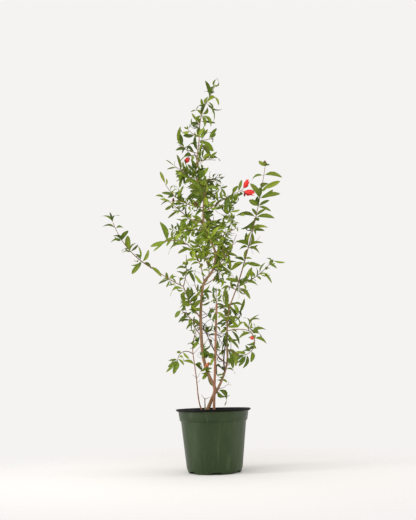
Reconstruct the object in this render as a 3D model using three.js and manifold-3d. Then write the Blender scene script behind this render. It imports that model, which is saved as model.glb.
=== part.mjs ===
// A young pomegranate tree in a round nursery pot, as a three.js model.
//
// Units are millimetres and +Z is up. The origin is the centre of the pot's flat underside,
// the front is -Y and +X is to the right. Three live stems and a dead stub rise from the
// potting mix, and a fourth stem forks from the leader above the rim. Boughs are tapering
// limbs that leave the stems, and every mass of foliage is one shoot with its side twigs,
// leaves and blossom fused together. A limb that leaves another limb stops JOINT_GAP short.

import * as THREE from "three";
import { LoftGeometry } from "three/addons/geometries/LoftGeometry.js";
import { mergeVertices } from "three/addons/utils/BufferGeometryUtils.js";
import Module from "manifold-3d";

const wasm = await Module();
wasm.setup();

// ---------------------------------------------------------------- driving dimensions

const JOINT_GAP = 0.34; // clear distance between touching limbs
const LEAF_CLEARANCE = 0.35; // a leaf or twig nearer than this to another piece is skipped
const SMALLEST_EDGE = 0.01; // shorter edges left by a join are closed up

const POT = {
  rimRadius: 105, // an eight-inch pot is 210 across its rolled rim
  height: 172,
  wall: 2,
  floor: 2.4,
  facets: 32,
  footRadius: 71, // the flat ring that stands on the ground
  heelRadius: 75.2, // where the rounded heel ends
  heelHeight: 6,
  waistRadius: 91.2, // just under the collar's step
  waistHeight: 136,
  collarRadius: 95, // just above the step
  stepHeight: 141,
  collarTopRadius: 98.4, // under the rolled rim
  collarTopHeight: 164.5,
};

const DRAIN = { count: 6, width: 34, height: 6, reach: 9, firstAzimuth: -86.5 };

const SOIL_HEIGHT = 154; // the mix lies 18 below the rim
const SOIL_CLEARANCE = 0.35;

const FLARE_FADE = 9; // height over which a root collar fades into its stem
const ARC_STEPS = 24; // straight pieces in the centre line of a curved limb
const STEM_STEPS = 12; // straight pieces between two course points of a stem

const LEAF = {
  spread: 48, // degrees between a leaf and its twig
  spreadVaries: 30,
  endSpread: 12, // degrees between a shoot and the leaf at its tip
  shoulders: [0.26, 0.66], // shares of the length between which the blade keeps its width
  crest: 0.36, // where the blade's back is highest
  ridge: 1.5, // height of the back above the blade's edges
  rootShare: 0.22, // share of the length that may lie among the roots of its neighbours
  sunk: 0.35, // how far the root lies past the twig's centre line
  sag: 0.12, // drop of the tip, as a share of the length
  farSag: 0.5, // share of that drop which the far shoulders have already
  slim: 0.3, // width as a share of the length
  youth: 0.15, // how much shorter the leaf at a shoot's very tip is
  least: 0.75, // the shortest leaf, as a share of the length its row gives
  varies: 0.4,
  leastRoll: 25, // degrees by which a blade leans over about its own midrib
  rollVaries: 50,
};

// Leaves stand in pairs at nodes. twist is the turn from one pair to the next, and the last
// pair stands a share of one gap before the tip.
const NODE = { twist: 90, twistVaries: 50, beforeTip: 0.3 };

// A side twig leaves its shoot at an angle and lifts towards its end. Twigs near the foot of
// a shoot are longer than the ones near its tip.
const TWIG = {
  spread: 50,
  lift: 20,
  girth: 2.2,
  tipGirth: 1.7,
  leafSize: 0.9, // leaf length and gap, as shares of the shoot's
  gapSize: 0.8,
  bare: 0.2,
  least: 0.75, // the shortest twig, as a share of the length its row gives
  varies: 0.5,
  footShare: 1.2,
  tipLoss: 0.5,
};

const COLOURS = {
  pot: 0x4d5a43,
  soil: 0x4a3626,
  bark: 0xa07d5e,
  youngBark: 0x8a5a45,
  deadWood: 0x8c7e70,
  leaf: 0x5c8a2c,
  darkLeaf: 0x3f6a2a,
  freshLeaf: 0x8db33f,
};

// ---------------------------------------------------------------- the plant's limbs

// The stems' courses are [x, y, z]. girth and tip are diameters, and bulk above 1 keeps
// a stem thick for longer before it tapers. flare is what the root collar adds to the radius.
const STEMS = [
  {
    name: "leader_stem", girth: 10.2, tip: 2.6, bulk: 1.3, flare: 3.2, sides: 8, rings: 30, wood: "bark",
    course: [
      [-25, 4, 150], [-6, 3, 192], [6, 2, 226], [-12, 1, 268], [-26, 0, 325], [-30, 0, 420],
      [-26, 0, 485], [-18, 0, 530], [8, 0, 566], [18, 0, 612], [5, 0, 655], [-15, 0, 715],
      [-14, 0, 795], [-34, 0, 850], [-30, 0, 905], [-21, 0, 985],
    ],
  },
  {
    name: "front_stem", girth: 7.2, tip: 5.8, bulk: 1, flare: 1.5, sides: 6, rings: 6, wood: "youngBark",
    course: [[1, -16, 150], [4, -18, 215], [9, -24, 310], [13, -28, 400], [17, -30, 465]],
  },
  {
    name: "left_stem", girth: 3.8, tip: 2.4, bulk: 1, flare: 1.2, sides: 6, rings: 8, wood: "youngBark",
    course: [[-24, -12, 150], [-39, -14, 190], [-46, -16, 262], [-54, -18, 330], [-53, -18, 352]],
  },
];

const RIGHT_STEM = {
  name: "right_stem", girth: 7, tip: 3.2, bulk: 1, sides: 8, rings: 14, wood: "bark",
  course: [
    [8, 2, 214], [28, 6, 254], [43, 8, 300], [44, 9, 345], [46, 10, 400], [54, 12, 455],
    [63, 15, 480], [80, 18, 522],
  ],
};

const DEAD_STUB = {
  name: "dead_stub", x: -23, y: -23, height: 47, girth: 4, tip: 3,
  twigs: { length: 16, girth: 1.8, tip: 1, at: 0.94, ways: [[160, 45], [-15, 15]] },
};

// A curved limb leaves the limb it grows on at a share of its length. heading is its
// direction seen from above (0 is +X and -90 is the front) and rise its slope, both in degrees
// at the foot; turn and lift are added to them evenly along the length.
const BOUGHS = [
  { name: "far_left_bough", on: "leader_stem", at: 0.33, heading: -155, turn: 0, rise: 50, lift: 20,
    length: 105, girth: 3.8, tip: 2.8 },
  { name: "far_left_arm", on: "far_left_bough", at: 1, heading: -155, turn: -20, rise: 20, lift: 20,
    length: 90, girth: 2.8, tip: 2.2 },
  { name: "arching_bough", on: "leader_stem", at: 0.45, heading: -115, turn: -25, rise: 80, lift: -45,
    length: 125, girth: 3.2, tip: 2.4 },
  { name: "right_fork_bough", on: "leader_stem", at: 0.44, heading: 20, turn: 20, rise: 25, lift: 15,
    length: 55, girth: 3.4, tip: 2.4 },
  { name: "flower_bough", on: "leader_stem", at: 0.715, heading: -25, turn: -10, rise: 15, lift: 10,
    length: 45, girth: 3, tip: 2.2 },
  { name: "upper_left_low_bough", on: "leader_stem", at: 0.67, heading: 180, turn: -35, rise: 25, lift: 0,
    length: 55, girth: 2.8, tip: 2.2 },
  { name: "right_low_bough", on: "right_stem", at: 0.57, heading: -25, turn: -10, rise: 10, lift: -25,
    length: 70, girth: 2.8, tip: 2.2 },
  { name: "crossing_bough", on: "right_stem", at: 0.275, heading: 205, turn: -95, rise: 35, lift: 30,
    length: 75, girth: 3.6, tip: 2.6 },
];

// ---------------------------------------------------------------- the masses of foliage

// Each shoot's row adds the leaf length, the gap between leaf nodes, the share of node sides
// that carry a side twig, the twigs' length, and how far the leaves hang (0 is stiff, 1 hangs
// straight down). bare is the leafless share at the shoot's foot and roll turns the pairs
// about the shoot. Narrow or broad leaves and another twist between pairs are stated.
const SHOOTS = [
  // the leader's top
  { name: "leader_top_spray", on: "leader_stem", at: 1, heading: -95, turn: 175, rise: 75, lift: -20,
    length: 175, leaf: 38, gap: 17, twigs: 0, twig: 18, droop: 0.3, bare: 0.04, roll: 0,
    tone: "leaf" },
  { name: "tip_left_spray", on: "leader_stem", at: 0.99, heading: 165, turn: -10, rise: 25, lift: 30,
    length: 50, leaf: 38, gap: 15, twigs: 0, twig: 0, droop: 0.35, bare: 0.02, roll: 90,
    tone: "leaf" },
  { name: "tip_right_spray", on: "leader_stem", at: 0.975, heading: -20, turn: 15, rise: 0, lift: 10,
    length: 45, leaf: 38, gap: 14, twigs: 0, twig: 0, droop: 0.25, bare: 0.02, roll: 90,
    tone: "freshLeaf" },
  { name: "leader_left_spray", on: "leader_stem", at: 0.93, heading: -175, turn: 40, rise: 10, lift: 15,
    length: 65, leaf: 34, gap: 19, twigs: 0, twig: 0, droop: 0.3, bare: 0.1, roll: 90,
    tone: "leaf" },
  { name: "high_left_spray", on: "leader_stem", at: 0.92, heading: 175, turn: -35, rise: 25, lift: -65,
    length: 45, leaf: 38, gap: 17, twigs: 0, twig: 0, droop: 0.5, bare: 0.02, roll: 100,
    tone: "darkLeaf" },
  { name: "high_right_spray", on: "leader_stem", at: 0.96, heading: -15, turn: -25, rise: -10, lift: -45,
    length: 40, leaf: 40, gap: 14, twigs: 0, twig: 0, droop: 0.5, bare: 0.02, roll: -10,
    tone: "leaf" },
  { name: "upper_right_spray", on: "leader_stem", at: 0.9, heading: 5, turn: 20, rise: 15, lift: -15,
    length: 60, leaf: 34, gap: 15, twigs: 0, twig: 16, droop: 0.35, bare: 0.1, roll: 98,
    tone: "leaf" },
  { name: "back_top_spray", on: "leader_stem", at: 0.88, heading: 80, turn: -10, rise: 35, lift: 10,
    length: 70, leaf: 38, gap: 18, twigs: 0, twig: 20, droop: 0.35, bare: 0.1, roll: 0,
    tone: "leaf" },

  // the dense upper crown
  { name: "upper_left_flower_spray", on: "leader_stem", at: 0.84, heading: -170, turn: 60, rise: -5,
    lift: 70, length: 80, leaf: 38, gap: 15, twigs: 0.25, twig: 28, droop: 0.3, bare: 0.02,
    roll: 90, tone: "leaf" },
  { name: "right_shoulder_spray", on: "leader_stem", at: 0.81, heading: 25, turn: -25, rise: 40,
    lift: -35, length: 80, leaf: 36, gap: 18, twigs: 0.2, twig: 28, droop: 0.35, bare: 0.02,
    roll: 90, tone: "darkLeaf" },
  { name: "front_high_spray", on: "leader_stem", at: 0.76, heading: -75, turn: -15, rise: 10, lift: 15,
    length: 85, leaf: 40, gap: 16.5, twigs: 0.3, twig: 34, droop: 0.3, bare: 0.02, roll: 20,
    tone: "leaf" },
  { name: "back_high_spray", on: "leader_stem", at: 0.76, heading: 105, turn: -15, rise: 25, lift: 15,
    length: 105, leaf: 40, gap: 21, twigs: 0.25, twig: 36, droop: 0.3, bare: 0.05, roll: 0,
    tone: "darkLeaf" },
  { name: "upper_left_high_spray", on: "leader_stem", at: 0.73, heading: -190, turn: 50, rise: 5,
    lift: 50, length: 140, leaf: 38, gap: 19, twigs: 0.2, twig: 34, droop: 0.3, bare: 0.02,
    roll: 90, tone: "leaf" },
  { name: "flower_spray", on: "flower_bough", at: 1, heading: -30, turn: 0, rise: 22, lift: -8,
    length: 92, leaf: 33, gap: 16, twigs: 0.1, twig: 22, droop: 0.4, bare: 0.02, roll: 90,
    tone: "leaf", blooms: [
      { kind: "flower", at: 1, heading: -20, rise: 46, length: 34, width: 14 },
      { kind: "flower", at: 0.97, heading: -35, rise: -24, length: 38, width: 17 },
    ] },
  { name: "upper_left_low_spray", on: "upper_left_low_bough", at: 1, heading: 180, turn: -20, rise: 45,
    lift: -5, length: 100, leaf: 34, gap: 19, twigs: 0.2, twig: 28, droop: 0.35, bare: 0.05,
    roll: 84, tone: "leaf", blooms: [
      { kind: "bud", at: 0.6, heading: -120, rise: 30, length: 17, width: 8 },
    ] },
  { name: "left_bright_spray", on: "leader_stem", at: 0.65, heading: -160, turn: 15, rise: 0, lift: -35,
    length: 115, leaf: 36, gap: 19.5, twigs: 0.25, twig: 30, droop: 0.3, bare: 0.05, roll: 90,
    tone: "freshLeaf" },
  { name: "back_mid_spray", on: "leader_stem", at: 0.62, heading: 85, turn: 15, rise: 20, lift: 20,
    length: 120, leaf: 40, gap: 23, twigs: 0.25, twig: 38, droop: 0.3, bare: 0.06, roll: 0,
    tone: "darkLeaf" },
  { name: "front_bright_spray", on: "leader_stem", at: 0.63, heading: -100, turn: -10, rise: 5, lift: 20,
    length: 95, leaf: 38, gap: 17, twigs: 0.3, twig: 32, droop: 0.3, bare: 0.04, roll: 0,
    tone: "freshLeaf" },
  { name: "mid_right_spray", on: "leader_stem", at: 0.7, heading: 5, turn: -15, rise: 30, lift: 0,
    length: 100, leaf: 36, gap: 17, twigs: 0.3, twig: 30, droop: 0.3, bare: 0.03, roll: 90,
    tone: "leaf" },
  { name: "center_right_spray", on: "leader_stem", at: 0.6, heading: -30, turn: 5, rise: 25, lift: -5,
    length: 95, leaf: 36, gap: 17.5, twigs: 0.3, twig: 28, droop: 0.3, bare: 0.03, roll: 90,
    tone: "leaf" },

  // the middle of the crown
  { name: "inner_right_spray", on: "leader_stem", at: 0.5, heading: -25, turn: 5, rise: 35, lift: 60,
    length: 235, leaf: 35, gap: 23, twigs: 0.2, twig: 28, droop: 0.35, bare: 0.15, roll: 90,
    tone: "leaf" },
  { name: "center_bright_spray", on: "leader_stem", at: 0.48, heading: -80, turn: -75, rise: 80,
    lift: -50, length: 105, leaf: 40, gap: 18, twigs: 0.25, twig: 32, droop: 0.3, bare: 0.05,
    roll: 90, tone: "freshLeaf" },
  { name: "broad_leaf_spray", on: "arching_bough", at: 1, heading: -145, turn: -10, rise: 25, lift: -55,
    length: 95, leaf: 60, gap: 31, twigs: 0, twig: 0, droop: 0.15, bare: 0.02, roll: 0,
    tone: "freshLeaf" },
  { name: "back_right_spray", on: "right_fork_bough", at: 1, heading: 45, turn: 20, rise: 45, lift: 20,
    length: 95, leaf: 36, gap: 19, twigs: 0.2, twig: 28, droop: 0.3, bare: 0.05, roll: 90,
    tone: "darkLeaf" },
  { name: "back_low_spray", on: "leader_stem", at: 0.4, heading: 115, turn: -20, rise: 30, lift: 20,
    length: 115, leaf: 40, gap: 24, twigs: 0.2, twig: 32, droop: 0.35, bare: 0.15, roll: 0,
    tone: "darkLeaf" },
  { name: "left_upright_spray", on: "far_left_bough", at: 1, heading: 30, turn: 45, rise: 70, lift: 25,
    length: 95, leaf: 38, gap: 27, twigs: 0, twig: 0, droop: 0.35, bare: 0.15, roll: 90,
    tone: "leaf" },
  { name: "far_left_spray", on: "far_left_arm", at: 1, heading: -170, turn: 10, rise: 25, lift: 45,
    length: 190, leaf: 35, gap: 30, twigs: 0.1, twig: 20, droop: 0.35, bare: 0, roll: 90,
    tone: "darkLeaf" },
  { name: "left_cluster_spray", on: "far_left_bough", at: 0.45, heading: 120, turn: -20, rise: 35,
    lift: 20, length: 60, leaf: 36, gap: 17, twigs: 0.1, twig: 22, droop: 0.4, bare: 0.1,
    roll: 90, tone: "darkLeaf" },
  { name: "left_low_spray", on: "leader_stem", at: 0.3, heading: -160, turn: 15, rise: 40, lift: -5,
    length: 80, leaf: 35, gap: 19, twigs: 0.15, twig: 24, droop: 0.4, bare: 0.25, roll: 90,
    tone: "leaf" },
  { name: "left_back_spray", on: "leader_stem", at: 0.27, heading: 140, turn: -15, rise: 45, lift: 10,
    length: 100, leaf: 36, gap: 23, twigs: 0.2, twig: 30, droop: 0.4, bare: 0.2, roll: 0,
    tone: "darkLeaf" },

  // the right-hand stem and its long shoot
  { name: "right_tall_spray", on: "right_stem", at: 1, heading: 25, turn: -40, rise: 70, lift: 10,
    length: 390, leaf: 54, gap: 41, twigs: 0, twig: 0, droop: 0.25, bare: 0.02, roll: 60,
    tone: "darkLeaf", slim: 0.27, twist: 30 },
  { name: "right_outer_spray", on: "right_stem", at: 0.99, heading: 25, turn: -5, rise: 20, lift: 30,
    length: 150, leaf: 34, gap: 24, twigs: 0.15, twig: 24, droop: 0.35, bare: 0.15, roll: 90,
    tone: "leaf" },
  { name: "right_node_spray", on: "right_stem", at: 0.97, heading: -55, turn: 10, rise: 15, lift: -90,
    length: 45, leaf: 42, gap: 15, twigs: 0, twig: 0, droop: 0.5, bare: 0.1, roll: 90,
    tone: "darkLeaf" },
  { name: "left_node_spray", on: "right_stem", at: 0.96, heading: -155, turn: 20, rise: 20, lift: -20,
    length: 40, leaf: 34, gap: 20, twigs: 0, twig: 0, droop: 0.4, bare: 0.15, roll: 90,
    tone: "leaf" },
  { name: "right_back_spray", on: "right_stem", at: 0.7, heading: 85, turn: 10, rise: 30, lift: 20,
    length: 95, leaf: 36, gap: 23, twigs: 0.2, twig: 30, droop: 0.35, bare: 0.12, roll: 0,
    tone: "darkLeaf" },
  { name: "right_cluster_side_spray", on: "right_stem", at: 0.66, heading: 10, turn: 30, rise: 25,
    lift: 15, length: 55, leaf: 34, gap: 17, twigs: 0.1, twig: 20, droop: 0.35, bare: 0.1,
    roll: 90, tone: "leaf" },
  { name: "right_cluster_front_spray", on: "right_stem", at: 0.6, heading: -100, turn: 0, rise: 60,
    lift: 0, length: 70, leaf: 38, gap: 17, twigs: 0.1, twig: 24, droop: 0.4, bare: 0.1,
    roll: 0, tone: "leaf" },
  { name: "right_low_upright_spray", on: "right_low_bough", at: 1, heading: 85, turn: -30, rise: 55,
    lift: -10, length: 50, leaf: 34, gap: 16, twigs: 0, twig: 0, droop: 0.2, bare: 0.1,
    roll: 0, tone: "leaf" },
  { name: "bud_spray", on: "right_low_bough", at: 1, heading: -40, turn: 60, rise: -30, lift: -145,
    length: 95, leaf: 34, gap: 20, twigs: 0, twig: 16, droop: 0.5, bare: 0.02, roll: 90,
    tone: "leaf", blooms: [
      { kind: "bud", at: 0.2, heading: -150, rise: -20, length: 14, width: 11 },
    ] },
  { name: "right_base_spray", on: "right_stem", at: 0.4, heading: -40, turn: -15, rise: -15, lift: -15,
    length: 50, leaf: 36, gap: 17, twigs: 0, twig: 0, droop: 0.6, bare: 0.1, roll: 90,
    tone: "darkLeaf" },
  { name: "crossing_spray", on: "crossing_bough", at: 1, heading: 165, turn: 0, rise: 60, lift: 10,
    length: 75, leaf: 32, gap: 18, twigs: 0.25, twig: 24, droop: 0.3, bare: 0.05, roll: 0,
    tone: "darkLeaf" },

  // sprouts on the cut front stem and on the thin left stem
  { name: "front_top_spray", on: "front_stem", at: 1, heading: -125, turn: 85, rise: 75, lift: 0,
    length: 45, leaf: 30, gap: 17, twigs: 0.1, twig: 16, droop: 0.3, bare: 0.05, roll: 98,
    tone: "darkLeaf" },
  { name: "low_flower_spray", on: "leader_stem", at: 0.18, heading: -80, turn: 15, rise: -25, lift: 5,
    length: 32, leaf: 30, gap: 14, twigs: 0, twig: 0, droop: 0.3, bare: 0.3, roll: 0,
    tone: "darkLeaf", blooms: [
      { kind: "flower", at: 0.75, heading: -60, rise: 45, length: 20, width: 10 },
    ] },
  { name: "left_stem_spray", on: "left_stem", at: 0.99, heading: 10, turn: 0, rise: 85, lift: -25,
    length: 60, leaf: 36, gap: 18, twigs: 0, twig: 18, droop: 0.35, bare: 0, roll: 90,
    tone: "darkLeaf" },
  { name: "bottom_left_spray", on: "left_stem", at: 0.86, heading: -175, turn: 50, rise: 45, lift: -130,
    length: 65, leaf: 46, gap: 15, twigs: 0, twig: 0, droop: 0.45, bare: 0.55, roll: 90,
    tone: "freshLeaf" },
];

const SHOOT_STEP = 30; // length of one straight piece of a shoot
const SHOOT_GIRTH = { base: 2.6, perLength: 0.004, tip: 2 };

// ---------------------------------------------------------------- vectors and chance

const UP = new THREE.Vector3(0, 0, 1);
const radians = THREE.MathUtils.degToRad;

/** A repeatable stream of numbers from 0 to 1 that belongs to a name. */
function chance(name) {
  let state = 0;
  for (const letter of name) {
    state = (Math.imul(state, 31) + letter.codePointAt(0)) >>> 0;
  }
  return () => {
    state = (Math.imul(state, 1664525) + 1013904223) >>> 0;
    return state / 4294967296;
  };
}

/** The unit vector with a heading seen from above and a rise above level, in degrees. */
function direction(heading, rise) {
  const level = Math.cos(radians(rise));
  return new THREE.Vector3(
    level * Math.cos(radians(heading)),
    level * Math.sin(radians(heading)),
    Math.sin(radians(rise)),
  );
}

/** Two unit vectors square to a direction: one level, and one as near to up as it can be. */
function crosswise(along) {
  const level = new THREE.Vector3().crossVectors(UP, along);
  if (level.length() < 0.05) {
    level.set(1, 0, 0).addScaledVector(along, -along.x);
  }
  level.normalize();
  const raised = new THREE.Vector3().crossVectors(along, level);
  return { level, raised };
}

/** A point at distances from a start, measured along given directions. */
function offset(start, ...steps) {
  const point = start.clone();
  for (const [way, distance] of steps) {
    point.addScaledVector(way, distance);
  }
  return point;
}

// ---------------------------------------------------------------- centre lines

/** A limb's centre line, read by the share of its length. */
class CentreLine {
  constructor(points) {
    this.points = points;
    this.run = [0];
    for (let i = 1; i < points.length; i += 1) {
      this.run.push(this.run[i - 1] + points[i].distanceTo(points[i - 1]));
    }
    this.length = this.run[points.length - 1];
  }

  span(share) {
    const distance = Math.min(Math.max(share, 0), 1) * this.length;
    let i = 1;
    while (i < this.points.length - 1 && this.run[i] < distance) {
      i += 1;
    }
    return { i, part: (distance - this.run[i - 1]) / (this.run[i] - this.run[i - 1]) };
  }

  at(share) {
    const { i, part } = this.span(share);
    return this.points[i - 1].clone().lerp(this.points[i], part);
  }

  along(share) {
    const { i } = this.span(share);
    return this.points[i].clone().sub(this.points[i - 1]).normalize();
  }

  /** The same line drawn with a few straight pieces. */
  straightened(pieces) {
    const points = Array.from({ length: pieces + 1 }, (_, k) => this.at(k / pieces));
    return new CentreLine(points);
  }
}

/** The smooth line through a stem's course points. */
function courseLine(course) {
  const points = course.map((place) => new THREE.Vector3(...place));
  const curve = new THREE.CatmullRomCurve3(points, false, "catmullrom", 0.5);
  return new CentreLine(curve.getPoints(STEM_STEPS * (points.length - 1)));
}

/** The line of a limb that starts at a point and turns and lifts evenly. */
function arcLine(start, { heading, turn, rise, lift, length }) {
  const points = [start.clone()];
  for (let k = 0; k < ARC_STEPS; k += 1) {
    const share = (k + 0.5) / ARC_STEPS;
    const way = direction(heading + turn * share, rise + lift * share);
    points.push(offset(points[k], [way, length / ARC_STEPS]));
  }
  return new CentreLine(points);
}

// ---------------------------------------------------------------- solids

/** Turns a closed geometry into a solid that can be joined and cut. */
function solidOf(geometry) {
  const bare = new THREE.BufferGeometry();
  bare.setAttribute("position", geometry.attributes.position);
  bare.setIndex(geometry.index);
  const merged = mergeVertices(bare, 1e-4);
  const mesh = new wasm.Mesh({
    numProp: 3,
    vertProperties: new Float32Array(merged.attributes.position.array),
    triVerts: new Uint32Array(merged.index.array),
  });
  return new wasm.Manifold(mesh);
}

/** The geometry of a solid's largest body, without scraps or sealed hollows. */
function geometryOf(solid) {
  const bodies = solid.simplify(SMALLEST_EDGE).decompose();
  const body = bodies.reduce((best, next) => (next.volume() > best.volume() ? next : best));
  const { vertProperties, triVerts, numProp } = body.getMesh();
  if (numProp !== 3) {
    throw new Error("a solid carries more than its positions");
  }
  const geometry = new THREE.BufferGeometry();
  geometry.setAttribute("position", new THREE.BufferAttribute(vertProperties, 3));
  geometry.setIndex(new THREE.BufferAttribute(triVerts, 1));
  geometry.computeVertexNormals();
  return geometry;
}

/** A tapering limb of round section along a centre line. */
function limbSolid(line, radiusAt, { sides, rings, extra = 0, flatFoot = null }) {
  const sections = [];
  let { level: right } = crosswise(line.along(0));
  for (let k = 0; k <= rings; k += 1) {
    const share = k / rings;
    const along = line.along(share);
    right = right.addScaledVector(along, -right.dot(along)).normalize();
    const left = new THREE.Vector3().crossVectors(along, right);
    const centre = line.at(share);
    if (k === rings) {
      centre.addScaledVector(along, extra);
    }
    const ring = [];
    for (let j = 0; j < sides; j += 1) {
      const angle = (2 * Math.PI * j) / sides;
      const radius = radiusAt(share);
      const point = offset(centre, [right, radius * Math.cos(angle)], [left, radius * Math.sin(angle)]);
      if (k === 0 && flatFoot !== null) {
        point.addScaledVector(along, (flatFoot - point.z) / along.z);
      }
      ring.push(point);
    }
    sections.push(ring);
  }
  return solidOf(new LoftGeometry(sections, { capStart: true, capEnd: true }));
}

/** One leaf: a six-sided blade with a raised back, a lowered tip and a pointed, sunk root. */
function leafSolid({ root, along, roll, length, width }, grown = 0) {
  const { level, raised } = crosswise(along);
  const turn = radians(roll);
  const normal = offset(new THREE.Vector3(), [raised, Math.cos(turn)], [level, Math.sin(turn)]);
  const across = offset(new THREE.Vector3(), [level, Math.cos(turn)], [raised, -Math.sin(turn)]);
  const half = width / 2 + grown;
  const [near, far] = LEAF.shoulders.map((share) => share * length);
  const drop = LEAF.sag * length;
  const places = [
    [-LEAF.sunk - grown, 0, 0],
    [near, -half, 0],
    [far, -half, -drop * LEAF.farSag],
    [length + grown, 0, -drop],
    [far, half, -drop * LEAF.farSag],
    [near, half, 0],
    [LEAF.crest * length, 0, LEAF.ridge + grown],
  ];
  const corners = places.map(([forward, side, lift]) =>
    offset(root, [along, forward], [across, side], [normal, lift]).toArray());
  const back = [0, 1, 6, 1, 2, 6, 2, 3, 6, 3, 4, 6, 4, 5, 6, 5, 0, 6];
  const under = [0, 5, 1, 1, 5, 4, 1, 4, 2, 2, 4, 3];
  const geometry = new THREE.BufferGeometry();
  geometry.setAttribute("position", new THREE.Float32BufferAttribute(corners.flat(), 3));
  geometry.setIndex([...back, ...under]);
  return solidOf(geometry);
}

/** The part of a leaf that stands free of its twig. */
function outerBlade(leaf) {
  const inner = LEAF.rootShare * leaf.length;
  return { ...leaf, root: offset(leaf.root, [leaf.along, inner]), length: leaf.length - inner };
}

/** A side twig of three flat sides. */
function twigSolid({ line, girth, tip }, grown = 0) {
  const radiusAt = (share) => (girth + (tip - girth) * share) / 2 + grown;
  return limbSolid(line, radiusAt, { sides: 3, rings: 1, extra: grown });
}

/** A flower or a bud, turned about its own axis from a row of shares of its size. */
function bloomSolid({ root, along, kind, length, width }, grown = 0) {
  const outline = kind === "flower"
    ? [[0, 0.2], [0.3, 0.42], [0.42, 0.34], [0.8, 1], [1, 0.5]]
    : [[0, 0.3], [0.45, 1], [1, 0.3]];
  const line = new CentreLine([root, offset(root, [along, length])]);
  const { level: right, raised: left } = crosswise(along);
  const sections = outline.map(([share, fullness]) => {
    const centre = offset(line.at(share), [along, share === 1 ? grown : 0]);
    const radius = (fullness * width) / 2 + grown;
    return Array.from({ length: 6 }, (_, j) => {
      const angle = (Math.PI * j) / 3;
      return offset(centre, [right, radius * Math.cos(angle)], [left, radius * Math.sin(angle)]);
    });
  });
  return solidOf(new LoftGeometry(sections, { capStart: true, capEnd: true }));
}

// ---------------------------------------------------------------- how a shoot grows

/** The leaves and side twigs of one shoot, in the order in which they grow. */
function growth(row, line, core) {
  const draw = chance(row.name);
  const twigs = [];
  const leaves = [];

  function clothe(shoot, wood, { leaf, gap, bare, branching, hang, roll }) {
    const nodes = Math.max(1, Math.round((shoot.length * (1 - bare)) / gap));
    for (let k = 1; k <= nodes; k += 1) {
      const share = bare + ((1 - bare) * (k - NODE.beforeTip)) / nodes;
      const stalk = shoot.along(share);
      const { level, raised } = crosswise(stalk);
      const pairTurn = roll + (row.twist ?? NODE.twist) * k + NODE.twistVaries * (draw() - 0.5);
      for (const half of [0, 180]) {
        const turn = radians(pairTurn + half);
        const side = offset(new THREE.Vector3(), [level, Math.cos(turn)], [raised, Math.sin(turn)]);
        if (draw() < branching && k < nodes) {
          twigs.push({ share, side, stretch: draw() });
        } else {
          const spread = LEAF.spread + LEAF.spreadVaries * (draw() - 0.5);
          addLeaf(wood.at(share), stalk, side, spread, leaf * (1 - LEAF.youth * share ** 4), hang);
        }
      }
    }
    const end = shoot.along(1);
    addLeaf(wood.at(1), end, crosswise(end).raised, LEAF.endSpread, leaf * (1 - LEAF.youth), hang / 2);
  }

  function addLeaf(root, stalk, side, spread, size, hang) {
    const along = offset(
      new THREE.Vector3(),
      [stalk, Math.cos(radians(spread))],
      [side, Math.sin(radians(spread))],
      [UP, -hang * (0.5 + draw())],
    ).normalize();
    const length = size * (LEAF.least + LEAF.varies * draw());
    const lean = draw() < 0.5 ? -1 : 1;
    const roll = lean * (LEAF.leastRoll + LEAF.rollVaries * draw());
    leaves.push({ root, along, roll, length, width: length * (row.slim ?? LEAF.slim) });
  }

  clothe(line, core, {
    leaf: row.leaf, gap: row.gap, bare: row.bare, branching: row.twigs, hang: row.droop, roll: row.roll,
  });
  const sideTwigs = twigs.map(({ share, side, stretch }) => {
    const stalk = line.along(share);
    const along = offset(
      new THREE.Vector3(),
      [stalk, Math.cos(radians(TWIG.spread))],
      [side, Math.sin(radians(TWIG.spread))],
    );
    const course = {
      heading: THREE.MathUtils.radToDeg(Math.atan2(along.y, along.x)),
      turn: 0,
      rise: THREE.MathUtils.radToDeg(Math.asin(THREE.MathUtils.clamp(along.z, -1, 1))),
      lift: TWIG.lift,
      length: row.twig * (TWIG.least + TWIG.varies * stretch) * (TWIG.footShare - TWIG.tipLoss * share),
    };
    const twigLine = arcLine(core.at(share), course);
    const twigCore = twigLine.straightened(1);
    const twig = { line: twigCore, girth: TWIG.girth, tip: TWIG.tipGirth, leaves: [] };
    const first = leaves.length;
    clothe(twigLine, twigCore, {
      leaf: row.leaf * TWIG.leafSize, gap: row.gap * TWIG.gapSize, bare: TWIG.bare, branching: 0,
      hang: row.droop, roll: 90 * (twigs.length % 2),
    });
    twig.leaves = leaves.splice(first);
    return twig;
  });
  const blooms = (row.blooms ?? []).map((bloom) => ({
    ...bloom, root: line.at(bloom.at), along: direction(bloom.heading, bloom.rise),
  }));
  return { leaves, twigs: sideTwigs, blooms };
}

// ---------------------------------------------------------------- pot and potting mix

/** The pot wall's inner radius and height, from the floor up, drawn in by a clearance. */
function potInside(clearance) {
  return [
    [POT.footRadius - 1, POT.floor + clearance],
    [POT.heelRadius - POT.wall, POT.heelHeight + 1.5],
    [POT.waistRadius - POT.wall, POT.waistHeight + 1],
    [POT.collarRadius - POT.wall, POT.stepHeight + 1],
    [POT.collarTopRadius - POT.wall, POT.collarTopHeight],
  ].map(([radius, height]) => [radius - clearance, height]);
}

function turned(profile) {
  const points = profile.map(([radius, height]) => new THREE.Vector2(radius, height));
  const geometry = new THREE.LatheGeometry(points, POT.facets);
  geometry.rotateX(Math.PI / 2);
  return geometry;
}

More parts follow.
